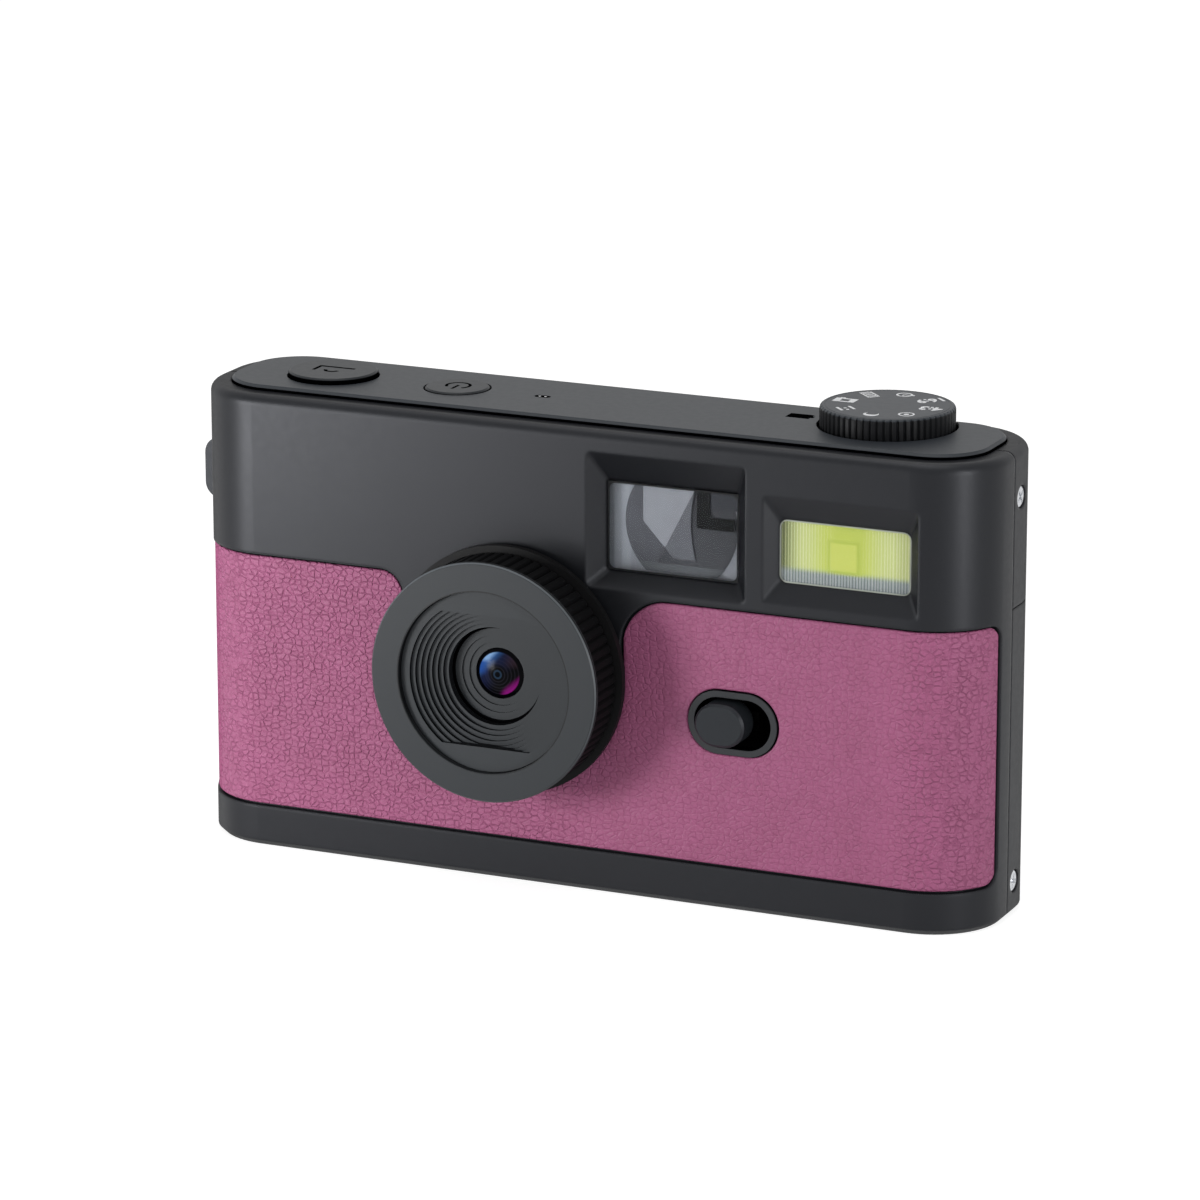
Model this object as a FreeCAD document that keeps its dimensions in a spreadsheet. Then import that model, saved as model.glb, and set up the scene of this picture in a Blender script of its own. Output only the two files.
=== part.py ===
import FreeCAD, Part
import math
import os
import Sketcher

# Retro digital camera in millimetres. X runs along the body, to the right seen from the front.
# The front faces -Y and +Z is up. The origin is the middle of the base, on the surface it stands on.

Vector = FreeCAD.Vector

SIZES = (
    # body and housing
    ("body_width", 115.0, "overall width of the housing"),
    ("body_depth", 24.8, "depth of the housing without the lens"),
    ("corner_radius", 10.2, "plan radius of the four upright corners"),
    ("shell_height", 63.3, "height of the housing's shoulder"),
    ("wall", 2.0, "housing wall"),
    ("top_round", 1.3, "rounding of the shoulder"),
    ("base_bevel", 0.8, "bevel of the base"),
    ("front_depth", 11.4, "depth of the front shell, front face to parting"),
    ("cover_seam", 42.3, "height where the rear cover is split"),
    ("seam_gap", 0.16, "visible seam between housing parts"),
    ("lip_thickness", 0.9, "locating lip inside the parting"),
    ("lip_length", 1.5, "reach of the lip into the rear covers"),
    ("fit_gap", 0.1, "clearance of fixed fits"),
    # leather
    ("leather_low", 6.0, "lower edge of the leather"),
    ("leather_high", 41.0, "upper edge of the leather"),
    ("leather_thickness", 0.6, "leather"),
    ("leather_sink", 0.2, "leather face below the housing face"),
    ("leather_groove", 0.25, "groove round the leather"),
    ("leather_reach", 7.9, "how far the leather wraps back from the front face"),
    ("leather_end_radius", 2.0, "corner radius at the leather's ends"),
    ("notch_half_width", 16.15, "half width of the cut-out over the lens"),
    ("notch_left_radius", 3.2, "leather corner left of the lens"),
    ("notch_right_radius", 6.4, "leather corner right of the lens"),
    # top plate
    ("plate_inset", 2.9, "top plate edge in from the housing outline"),
    ("plate_rise", 0.7, "top plate above the shoulder"),
    ("plate_thickness", 1.8, "top plate"),
    ("plate_edge", 0.35, "bevel of the top plate's edge"),
    ("plate_ledge", 1.5, "ledge that carries the top plate"),
    ("plate_gap", 0.14, "gap round the top plate"),
    # lens
    ("lens_spacing", 22.25, "lens axis from the middle of the viewfinder"),
    ("lens_height", 29.85, "lens axis above the base"),
    ("lens_reach", 9.0, "front ring ahead of the front face"),
    ("collar_radius", 17.0, "smooth collar at the foot of the lens"),
    ("collar_length", 1.9, "collar ahead of the front face"),
    ("collar_foot", 0.9, "height of the narrower foot under the collar"),
    ("collar_step", 0.5, "how much narrower that foot is"),
    ("spigot_radius", 14.6, "flats of the lens housing where it passes the shell, from the axis"),
    ("rim_radius", 16.35, "front rim of the focus ring"),
    ("rim_length", 0.75, "front rim's smooth edge"),
    ("rim_chamfer", 0.25, "bevel of the front rim"),
    ("grip_radius", 16.1, "knurled band of the focus ring"),
    ("grip_groove", 0.5, "groove between rim and knurls"),
    ("grip_notch", 0.7, "width of a knurl's notch"),
    ("grip_depth", 0.4, "depth of a knurl's notch"),
    ("ring_bore", 12.4, "front opening of the focus ring"),
    ("ring_lip", 1.2, "thickness of the ring's front annulus"),
    ("tube_radius", 13.2, "fixed tube that the ring turns on"),
    ("tube_bore", 11.7, "bore of the fixed tube"),
    ("turning_gap", 0.08, "radial clearance of turning and sliding fits"),
    ("running_gap", 0.3, "clearance between moving faces"),
    ("baffle_sink", 0.8, "baffle face behind the rim"),
    ("baffle_radius", 12.3, "baffle disc"),
    ("funnel_radius", 11.05, "widest step of the funnel"),
    ("funnel_flat", 9.05, "flats that cut the funnel, from the axis"),
    ("step_width", 0.62, "width of a funnel step"),
    ("step_drop", 0.42, "depth of a funnel step"),
    ("well_drop", 1.15, "deep step of the funnel"),
    ("well_radius", 6.3, "widest inner ring"),
    ("ring_width", 0.95, "width of an inner ring"),
    ("ring_drop", 0.2, "depth of an inner ring"),
    ("pupil_depth", 0.4, "thickness of the lip round the front glass"),
    ("pupil_radius", 3.5, "hole round the front glass"),
    ("glass_radius", 3.36, "front glass"),
    ("glass_crown", 0.9, "dome of the front glass"),
    ("cell_radius", 4.4, "lens cell"),
    ("cell_stop", 2.6, "rear opening of the lens cell"),
    ("cell_tail", 2.0, "lens cell behind the inside of the front wall"),
    ("focus_travel", 0.36, "travel of the lens cell"),
    ("guide_length", 2.0, "guide of the lens cell in the baffle"),
    ("holder_width", 33.0, "flange of the sensor holder"),
    ("holder_tall", 23.0, "flange of the sensor holder"),
    ("holder_flange", 1.3, "flange of the sensor holder"),
    ("holder_depth", 6.0, "sensor holder behind the front wall"),
    ("sensor_size", 13.0, "side of the sensor board"),
    ("sensor_width", 5.7, "image sensor"),
    ("sensor_tall", 4.4, "image sensor"),
    ("sensor_thick", 1.2, "image sensor"),
    ("board_thickness", 1.0, "small circuit boards"),
    # viewfinder
    ("finder_spacing", 24.65, "viewfinder frame from the flash frame, middle to middle"),
    ("finder_width", 22.65, "viewfinder frame"),
    ("finder_low", 42.15, "lower edge of the viewfinder frame"),
    ("finder_tall", 18.35, "height of the viewfinder frame"),
    ("finder_side", 2.0, "width of its side slopes"),
    ("finder_above", 4.4, "width of its upper slope"),
    ("finder_below", 1.95, "width of its lower slope"),
    ("finder_sink", 2.7, "window behind the front face"),
    ("frame_corner", 0.8, "corner radius of the sloped frames"),
    ("window_corner", 1.2, "corner radius of the windows"),
    ("glass_thickness", 1.0, "windows"),
    ("glass_margin", 0.9, "window edge hidden behind its frame"),
    ("tunnel_wall", 0.9, "viewfinder tunnel"),
    ("eyepiece_width", 11.0, "eyepiece opening"),
    ("eyepiece_tall", 8.0, "eyepiece opening"),
    ("eyepiece_slope", 1.6, "slope round the eyepiece"),
    ("eyepiece_sink", 0.9, "eyepiece glass behind the rear face"),
    # flash
    ("flash_inset", 19.6, "middle of the flash frame from the side"),
    ("flash_width", 21.65, "flash frame"),
    ("flash_low", 42.6, "lower edge of the flash frame"),
    ("flash_tall", 14.5, "height of the flash frame"),
    ("flash_side", 1.65, "width of its side slopes"),
    ("flash_above", 3.4, "width of its upper slope"),
    ("flash_below", 2.6, "width of its lower slope"),
    ("flash_sink", 1.8, "flash lens behind the front face"),
    ("flash_rib", 0.76, "pitch of the lens ribs"),
    ("flash_rib_depth", 0.35, "depth of the lens ribs"),
    ("reflector_depth", 4.6, "flash reflector"),
    ("led_size", 4.0, "flash emitter"),
    # slide switch
    ("switch_spacing", 31.95, "middle of the switch bezel from the lens axis"),
    ("switch_level", 25.7, "height of the switch bezel"),
    ("bezel_length", 12.6, "switch bezel"),
    ("bezel_width", 8.6, "switch bezel"),
    ("bezel_rim", 0.85, "rim of the bezel"),
    ("bezel_floor", 0.8, "floor of the bezel"),
    ("knob_length", 7.05, "switch knob"),
    ("knob_width", 5.85, "switch knob"),
    ("knob_reach", 1.8, "knob ahead of the front face"),
    ("knob_edge", 0.35, "bevel of the knob's face"),
    ("knob_travel", 2.4, "travel of the switch knob"),
    ("slider_length", 3.0, "slider behind the knob"),
    ("slider_width", 2.2, "slider behind the knob"),
    # mode dial
    ("dial_inset", 19.5, "mode dial axis from the side"),
    ("dial_y", 3.6, "mode dial axis behind the middle"),
    ("dial_radius", 8.95, "mode dial over the ridges"),
    ("dial_rise", 2.8, "dial top above the top plate"),
    ("dial_chamfer", 0.28, "edge of the dial's top"),
    ("ridge_notch", 0.5, "width of a notch between ridges"),
    ("ridge_depth", 0.3, "depth of a notch between ridges"),
    ("dial_recess_gap", 0.4, "radial gap round the dial"),
    ("dial_sink", 1.1, "floor of the dial's recess below the top plate"),
    ("dial_hub", 2.0, "depth of the shaft's socket in the dial"),
    ("shaft_radius", 1.5, "dial shaft"),
    ("encoder_size", 8.4, "side of the dial's switch"),
    ("encoder_tall", 5.4, "height of the dial's switch"),
    ("encoder_bore", 4.6, "depth of the shaft's bearing in the dial's switch"),
    ("dial_board_width", 13.4, "board under the dial's switch"),
    # buttons
    ("shutter_inset", 16.3, "shutter button axis from the side"),
    ("shutter_radius", 6.1, "shutter button"),
    ("shutter_rise", 0.8, "shutter button above the plate"),
    ("shutter_travel", 0.7, "shutter button stroke"),
    ("power_spacing", 18.6, "power button axis from the shutter button's"),
    ("power_radius", 4.42, "power button"),
    ("power_rise", 0.25, "power button above the plate"),
    ("power_travel", 0.4, "power button stroke"),
    ("button_gap", 0.2, "radial gap round a button"),
    ("button_edge", 0.3, "bevel of a button's face"),
    ("tab_reach", 0.8, "retaining tabs of a button beyond its hole"),
    ("tab_width", 4.0, "retaining tabs of a button, front to back"),
    ("flange_thickness", 0.6, "retaining tabs of a button, flange of a rear key"),
    ("stem_radius", 1.2, "button stem"),
    ("switch_side", 6.0, "push switch"),
    ("switch_tall", 2.6, "push switch"),
    ("switch_bore", 2.1, "depth of the stem's bore in a push switch"),
    ("stem_overlap", 1.3, "reach of a button's stem into its switch"),
    ("button_board_drop", 6.2, "button board below the top plate"),
    ("status_spacing", 12.6, "status lights from the power button's axis"),
    ("status_length", 2.2, "status light window"),
    ("status_width", 1.1, "status light window"),
    ("microphone_spacing", 8.2, "microphone from the power button's axis"),
    ("microphone_radius", 2.2, "microphone"),
    ("microphone_tall", 1.2, "microphone"),
    ("hanger_radius", 1.5, "posts that hang the button board"),
    ("hanger_y", 5.8, "those posts in front of and behind the middle"),
    ("button_board_edge", 1.6, "button board beyond its outer posts"),
    ("mark_gap", 1.0, "index mark from the dial's recess"),
    ("mark_length", 3.3, "index mark beside the dial"),
    ("mark_width", 1.0, "index mark beside the dial"),
    ("mark_depth", 0.2, "index mark beside the dial"),
    # strap bar and screws
    ("strap_low", 45.7, "lower end of the strap bar"),
    ("strap_high", 54.2, "upper end of the strap bar"),
    ("strap_reach", 2.2, "strap bar beyond the side"),
    ("strap_width", 3.2, "strap bar, front to back"),
    ("strap_thickness", 1.2, "strap bar"),
    ("strap_pocket", 1.3, "hollow behind the strap bar"),
    ("screw_back", 2.6, "side screws behind the parting"),
    ("upper_screw", 56.8, "height of the upper side screws"),
    ("lower_screw", 4.6, "height of the lower side screws"),
    ("screw_head", 1.45, "side screw head"),
    ("screw_sink", 0.9, "depth of the screw head"),
    ("screw_radius", 0.9, "screw shank"),
    ("screw_length", 6.0, "side screw"),
    ("lug_size", 5.4, "screw lug, square"),
    ("lug_gap", 0.4, "lug from the inside of the rear cover"),
    ("post_radius", 2.1, "screw post"),
    ("post_depth", 5.0, "depth of a post's bore"),
    ("post_edge", 3.4, "posts from the board's upper and lower edges"),
    # boards, battery and ports
    ("board_low", 8.5, "lower edge of the main board"),
    ("board_high", 41.0, "upper edge of the main board"),
    ("board_side", 4.0, "main board in from the housing's sides"),
    ("board_behind", 2.0, "front of the main board behind the parting"),
    ("main_thickness", 1.2, "main board"),
    ("board_post_inset", 6.5, "posts of the main board from the sides"),
    ("battery_gap", 0.8, "battery from the corner and from the lens's holder"),
    ("battery_tall", 34.0, "battery"),
    ("battery_thickness", 6.0, "battery"),
    ("battery_low", 4.6, "lower end of the battery"),
    ("usb_level", 31.0, "height of the charging port"),
    ("usb_width", 8.94, "charging port, long side"),
    ("usb_thick", 3.2, "charging port, short side"),
    ("usb_depth", 7.3, "charging port"),
    ("usb_sink", 0.5, "mouth of the charging port below the side"),
    ("usb_shell", 0.32, "shell of the charging port"),
    ("usb_tongue", 6.4, "tongue in the charging port"),
    ("card_level", 20.1, "height of the memory card socket"),
    ("card_width", 12.0, "card socket"),
    ("card_thick", 1.9, "card socket"),
    ("card_depth", 14.6, "card socket"),
    ("slot_width", 11.4, "slot for the memory card"),
    ("slot_thick", 1.1, "slot for the memory card"),
    ("processor_tall", 1.0, "image processor"),
    ("processor_side", 13.0, "image processor"),
    ("speaker_inset", 27.5, "middle of the speaker from the side"),
    ("speaker_gap", 0.5, "speaker from the front wall"),
    ("speaker_length", 15.0, "speaker"),
    ("speaker_width", 7.0, "speaker"),
    ("speaker_tall", 3.0, "speaker"),
    ("sound_hole", 0.7, "radius of a sound hole"),
    ("sound_spacing", 3.0, "spacing of the sound holes"),
    ("bush_y", 5.8, "tripod bush behind the middle"),
    ("bush_radius", 3.7, "tripod bush"),
    ("bush_bore", 2.55, "tap bore of the quarter inch tripod thread"),
    ("bush_tall", 5.6, "tripod bush"),
    ("bush_wall", 1.4, "boss round the tripod bush"),
    ("bush_depth", 4.8, "depth of the tripod thread"),
    # rear
    ("screen_x", 9.0, "middle of the screen"),
    ("screen_width", 42.0, "screen window"),
    ("screen_tall", 31.0, "screen window"),
    ("screen_margin", 1.6, "ledge behind the screen window"),
    ("screen_radius", 1.6, "corner radius of the screen window"),
    ("panel_thickness", 2.2, "display panel"),
    ("keys_gap", 4.2, "rear keys from the screen window"),
    ("keys_spacing", 7.8, "outer keys from the middle one"),
    ("key_radius", 2.5, "half the width of an outer rear key"),
    ("ok_radius", 2.9, "half the width of the middle rear key"),
    ("key_corner", 0.9, "clipped corners of the rear keys"),
    ("key_edge", 0.3, "bevel of the rear keys"),
    ("key_rise", 0.4, "rear keys above the rear face"),
    ("key_travel", 0.4, "rear key stroke"),
    ("key_flange", 0.55, "retaining flange of a rear key"),
    ("key_stem", 1.0, "radius of a rear key's stem"),
    ("key_stem_overlap", 0.8, "reach of that stem into its switch"),
    ("key_bore", 1.3, "depth of the stem's bore in its switch"),
    ("key_post", 1.7, "posts of the key board"),
    ("key_post_offset", 6.9, "posts of the key board from the middle key"),
    ("key_board_margin", 1.0, "key board beyond its outer switches"),
    ("key_board_drop", 3.6, "key board behind the rear wall"),
    ("key_switch_size", 4.2, "push switch under a rear key"),
    ("key_switch_tall", 1.6, "push switch under a rear key"),
)

GRIP_NOTCHES = 72
DIAL_NOTCHES = 60
HIDDEN_SIDES = 6
SPIGOT_SIDES = 8
SHANK_SHARE = 0.95
FUNNEL_STEPS = 7
INNER_RINGS = 3
REAR_KEYS = (
    ("ok_key", 0, 0),
    ("up_key", 0, 1),
    ("down_key", 0, -1),
    ("menu_key", -1, 0),
    ("play_key", 1, 0),
)

doc = FreeCAD.newDocument("camera")
sheet = doc.addObject("Spreadsheet::Sheet", "sizes")
for row, (alias, value, meaning) in enumerate(SIZES, start=1):
    sheet.set(f"A{row}", meaning)
    sheet.set(f"B{row}", str(value))
    sheet.setAlias(f"B{row}", alias)
doc.recompute()


def as_text(value):
    """The expression of a length, or of a plain number."""
    if isinstance(value, Length):
        return value.text
    return repr(value)


class Length:
    """A length tied to the sheet: sums and shares of lengths stay expressions on its cells."""

    def __init__(self, text):
        self.text = text

    def __add__(self, other):
        return Length(f"({self.text} + {as_text(other)})")

    def __radd__(self, other):
        return Length(f"({as_text(other)} + {self.text})")

    def __sub__(self, other):
        return Length(f"({self.text} - {as_text(other)})")

    def __rsub__(self, other):
        return Length(f"({as_text(other)} - {self.text})")

    def __mul__(self, factor):
        return Length(f"({self.text} * {as_text(factor)})")

    def __rmul__(self, factor):
        return Length(f"({as_text(factor)} * {self.text})")

    def __truediv__(self, divisor):
        return Length(f"({self.text} / {as_text(divisor)})")

    def __neg__(self):
        return Length(f"(-1 * {self.text})")

    def __float__(self):
        return float(sheet.evalExpression(self.text))


class Cells:
    """Gives each cell of the sheet by its alias, as a length."""

    def __getattr__(self, alias):
        return Length(f"sizes.{alias}")


size = Cells()

# levels that several parts share
half_width = size.body_width / 2
front = -size.body_depth / 2
back = size.body_depth / 2
inner_front = front + size.wall
flash_x = half_width - size.flash_inset
finder_x = flash_x - size.finder_spacing
lens_x = finder_x - size.lens_spacing
switch_x = lens_x + size.switch_spacing
dial_x = half_width - size.dial_inset
shutter_x = -half_width + size.shutter_inset
power_x = shutter_x + size.power_spacing
status_x = power_x + size.status_spacing
microphone_x = power_x + size.microphone_spacing
speaker_x = half_width - size.speaker_inset
board_post_x = half_width - size.board_post_inset
inner_back = back - size.wall
inner_top = size.shell_height - size.wall
parting = front + size.front_depth
plate_top = size.shell_height + size.plate_rise
plate_under = plate_top - size.plate_thickness
lens_front = front - size.lens_reach
baffle_front = lens_front + size.baffle_sink
board_front = parting + size.board_behind
board_back = board_front + size.main_thickness
button_board_top = plate_under - size.button_board_drop
screw_y = parting + size.screw_back
dial_floor = plate_top - size.dial_sink
dial_low = dial_floor + size.running_gap
window_low = size.finder_low + size.finder_below
window_tall = size.finder_tall - size.finder_below - size.finder_above
window_wide = size.finder_width - size.finder_side * 2
lamp_low = size.flash_low + size.flash_below
lamp_tall = size.flash_tall - size.flash_below - size.flash_above
lamp_wide = size.flash_width - size.flash_side * 2
glass_front = front + size.finder_sink
screen_level = (size.bush_tall + size.cover_seam) / 2
keys_reach = size.keys_spacing + size.key_radius + size.button_gap
keys_x = size.screen_x - size.screen_width / 2 - size.keys_gap - keys_reach
lamp_back = inner_front + size.fit_gap + size.glass_thickness
boss_back = glass_front + size.glass_thickness + size.fit_gap
MARGIN = 1.0


def bind(item, name, value):
    """Ties a property to the sheet."""
    item.setExpression(name, as_text(value))


def new_body(label):
    """A body with its own name."""
    part = doc.addObject("PartDesign::Body", label)
    part.Label = label
    return part


PLANES = {"top": "XY_Plane", "front": "XZ_Plane", "side": "YZ_Plane"}


def sketch(part, plane, level=0.0, at=(0.0, 0.0)):
    """A sketch on the body's top, front or side plane, at a level along Z, Y or X.

    The point at is the sketch's own origin. The front plane's normal points forwards, to -Y.
    """
    drawing = part.newObject("Sketcher::SketchObject", part.Label + "_sketch")
    support = next(item for item in part.Origin.OriginFeatures if item.Role == PLANES[plane])
    drawing.AttachmentSupport = (support, [""])
    drawing.MapMode = "FlatFace"
    if plane == "front":
        level = level * -1
    bind(drawing, "AttachmentOffset.Base.x", at[0])
    bind(drawing, "AttachmentOffset.Base.y", at[1])
    bind(drawing, "AttachmentOffset.Base.z", level)
    return drawing


def datum(drawing, kind, references, value):
    """A sized constraint tied to the sheet."""
    index = drawing.addConstraint(Sketcher.Constraint(kind, *references, float(value)))
    drawing.setExpression(f"Constraints[{index}]", as_text(value))


def circle(drawing, x, y, radius):
    """A circle."""
    centre = Vector(float(x), float(y), 0)
    index = drawing.addGeometry(Part.Circle(centre, Vector(0, 0, 1), float(radius)))
    datum(drawing, "DistanceX", (index, 3), x)
    datum(drawing, "DistanceY", (index, 3), y)
    datum(drawing, "Radius", (index,), radius)


def path(drawing, corners):
    """A closed outline. A corner is (x, y), or (x, y, centre_x, centre_y, turn).

    The longer form starts an arc about that centre to the next corner, turn 1 being
    counter-clockwise and -1 clockwise.
    """
    spots = [Vector(float(corner[0]), float(corner[1]), 0) for corner in corners]
    ends = []
    for number, corner in enumerate(corners):
        start = spots[number]
        finish = spots[(number + 1) % len(corners)]
        if len(corner) == 2:
            index = drawing.addGeometry(Part.LineSegment(start, finish))
            ends.append((index, 1, 2))
            continue
        centre = Vector(float(corner[2]), float(corner[3]), 0)
        first, last = (start, finish) if corner[4] == 1 else (finish, start)
        ring = Part.Circle(centre, Vector(0, 0, 1), (start - centre).Length)
        turn = [math.atan2(spot.y - centre.y, spot.x - centre.x) for spot in (first, last)]
        if turn[1] <= turn[0]:
            turn[1] += 2 * math.pi
        index = drawing.addGeometry(Part.ArcOfCircle(ring, turn[0], turn[1]))
        ends.append((index, 1, 2) if corner[4] == 1 else (index, 2, 1))
        chord = finish - start
        if abs(chord.y) > abs(chord.x):
            datum(drawing, "DistanceX", (index, 3), corner[2])
        else:
            datum(drawing, "DistanceY", (index, 3), corner[3])
    for number, corner in enumerate(corners):
        index, begin, end = ends[number]
        following, following_begin = ends[(number + 1) % len(corners)][:2]
        joint = (index, end, following, following_begin)
        drawing.addConstraint(Sketcher.Constraint("Coincident", *joint))
        datum(drawing, "DistanceX", (index, begin), corner[0])
        datum(drawing, "DistanceY", (index, begin), corner[1])


def rectangle(drawing, left, right, low, high):
    """A plain rectangle."""
    path(drawing, [(left, low), (right, low), (right, high), (left, high)])


def polygon(drawing, x, y, radius, sides):
    """A regular polygon round the circle's radius, for a piece that stays hidden."""
    outer = radius / math.cos(math.pi / sides)
    corners = []
    for number in range(sides):
        angle = math.pi * (2 * number + 1) / sides
        corners.append((x + outer * round(math.cos(angle), 6), y + outer * round(math.sin(angle), 6)))
    path(drawing, corners)


def vee(drawing, radius, depth, width):
    """A notch with straight flanks, cut into a circle about the sketch's origin, at its +x side.

    The flanks run on past the circle, where they are as much wider as they are longer.
    """
    beyond = depth
    half = width / 2
    path(drawing, [(radius - depth, 0.0), (radius + beyond, -half * 2), (radius + beyond, half * 2)])


def clipped(drawing, half, clip):
    """A square about the sketch's origin with clipped corners."""
    near = half - clip
    path(drawing, [(near, -half), (half, -near), (half, near), (near, half),
                   (-near, half), (-half, near), (-half, -near), (-near, -half)])


def rounded(drawing, left, right, low, high, radius):
    """A rectangle with rounded corners."""
    path(drawing, [
        (left + radius, low),
        (right - radius, low, right - radius, low + radius, 1),
        (right, low + radius),
        (right, high - radius, right - radius, high - radius, 1),
        (right - radius, high),
        (left + radius, high, left + radius, high - radius, 1),
        (left, high - radius),
        (left, low + radius, left + radius, low + radius, 1),
    ])


def stadium(drawing, length, width):
    """A slot shape about the sketch's origin, its long side along x."""
    reach = (length - width) / 2
    path(drawing, [
        (-reach, -width / 2),
        (reach, -width / 2, reach, 0.0, 1),
        (reach, width / 2),
        (-reach, width / 2, -reach, 0.0, 1),
    ])


def plan_outline(drawing, inset):
    """The housing's outline seen from above, moved in by inset."""
    radius = size.corner_radius - inset
    rounded(drawing, -half_width + inset, half_width - inset, front + inset, back - inset, radius)


def pad(part, drawing, length, against=False):
    """Adds a prism along the sketch's normal, or against it."""
    feature = part.newObject("PartDesign::Pad", drawing.Label + "_pad")
    feature.Profile = drawing
    bind(feature, "Length", length)
    feature.Reversed = against
    drawing.Visibility = False
    return feature


def pocket(part, drawing, length, along=False):
    """Cuts a prism against the sketch's normal, or along it."""
    feature = part.newObject("PartDesign::Pocket", drawing.Label + "_pocket")
    feature.Profile = drawing
    bind(feature, "Length", length)
    feature.Reversed = along
    return feature


def turn(part, drawing, axis="V_Axis", cut=False):
    """Turns a profile about the sketch's own axis, adding it or cutting it."""
    kind = "PartDesign::Groove" if cut else "PartDesign::Revolution"
    feature = part.newObject(kind, drawing.Label + "_turn")
    feature.Profile = drawing
    feature.ReferenceAxis = (drawing, [axis])
    feature.Angle = 360
    return feature


def ring_of(part, feature, drawing, count):
    """Repeats a feature about the sketch's normal."""
    pattern = part.newObject("PartDesign::PolarPattern", feature.Label + "_ring")
    pattern.Originals = [feature]
    pattern.Axis = (drawing, ["N_Axis"])
    pattern.Angle = 360
    pattern.Occurrences = count
    part.Tip = pattern
    return pattern


def round_edges(part, feature, radius, chosen, bevel=False):
    """Rounds or bevels the edges of a feature that the test chosen picks by their box."""
    doc.recompute()
    names = []
    for number, edge in enumerate(feature.Shape.Edges, start=1):
        if chosen(edge.BoundBox):
            names.append(f"Edge{number}")
    kind = "PartDesign::Chamfer" if bevel else "PartDesign::Fillet"
    edge = part.newObject(kind, feature.Label + "_edge")
    edge.Base = (feature, names)
    bind(edge, "Size" if bevel else "Radius", radius)
    return edge


def flat_at_z(level):
    """Picks edges that lie at one height."""
    height = float(level)
    return lambda box: abs(box.ZMin - height) < 1e-4 and abs(box.ZMax - height) < 1e-4


def flat_at_y(level):
    """Picks edges that lie at one depth."""
    depth = float(level)
    return lambda box: abs(box.YMin - depth) < 1e-4 and abs(box.YMax - depth) < 1e-4


def box(label, x_range, y_range, z_range):
    """A block between pairs of coordinates."""
    block = doc.addObject("Part::Box", label)
    block.Label = label
    spans = (("Length", "x", x_range), ("Width", "y", y_range), ("Height", "z", z_range))
    for side, axis, (low, high) in spans:
        bind(block, side, high - low)
        bind(block, f"Placement.Base.{axis}", low)
    return block


def rod(label, start, length, radius, direction):
    """A cylinder from a point along X, Y or Z."""
    cylinder = doc.addObject("Part::Cylinder", label)
    cylinder.Label = label
    bind(cylinder, "Radius", radius)
    bind(cylinder, "Height", length)
    turned = {"x": (Vector(0, 1, 0), 90), "y": (Vector(1, 0, 0), -90), "z": (Vector(0, 0, 1), 0)}
    axis, angle = turned[direction]
    cylinder.Placement.Rotation = FreeCAD.Rotation(axis, angle)
    for name, value in zip("xyz", start):
        bind(cylinder, f"Placement.Base.{name}", value)
    return cylinder


def around(x, level, wide, tall):
    """Left, right, low and high edges about a middle, from half the width and half the height."""
    return (x - wide, x + wide, level - tall, level + tall)


def slope(block, ends, y_range):
    """Sizes a wedge from the edges of its front and rear ends."""
    for number, (left, right, low, high) in zip(("", "2"), ends):
        bind(block, f"X{number}min", left)
        bind(block, f"X{number}max", right)
        bind(block, f"Z{number}min", low)
        bind(block, f"Z{number}max", high)
    bind(block, "Ymin", y_range[0])
    bind(block, "Ymax", y_range[1])


def wedge(label, ends, y_range):
    """A block with sloped sides between the edges of its front and rear ends."""
    block = doc.addObject("Part::Wedge", label)
    block.Label = label
    slope(block, ends, y_range)
    return block


def joined(label, items):
    """Several solids under one name, fused where they meet."""
    fusion = doc.addObject("Part::MultiFuse", label)
    fusion.Label = label
    fusion.Shapes = items
    return fusion


def without(label, base, tools):
    """A solid with others cut from it."""
    tool = tools[0] if len(tools) == 1 else joined(label + "_tools", tools)
    cut = doc.addObject("Part::Cut", label)
    cut.Label = label
    cut.Base = base
    cut.Tool = tool
    return cut


def common(label, items):
    """What several solids share."""
    shared = doc.addObject("Part::MultiCommon", label)
    shared.Label = label
    shared.Shapes = items
    return shared


def group(label, items):
    """Separate solids kept under one name."""
    compound = doc.addObject("Part::Compound", label)
    compound.Label = label
    compound.Links = items
    return compound


def both_sides(value):
    """A length and its mirror image."""
    return (value, -value)


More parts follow.
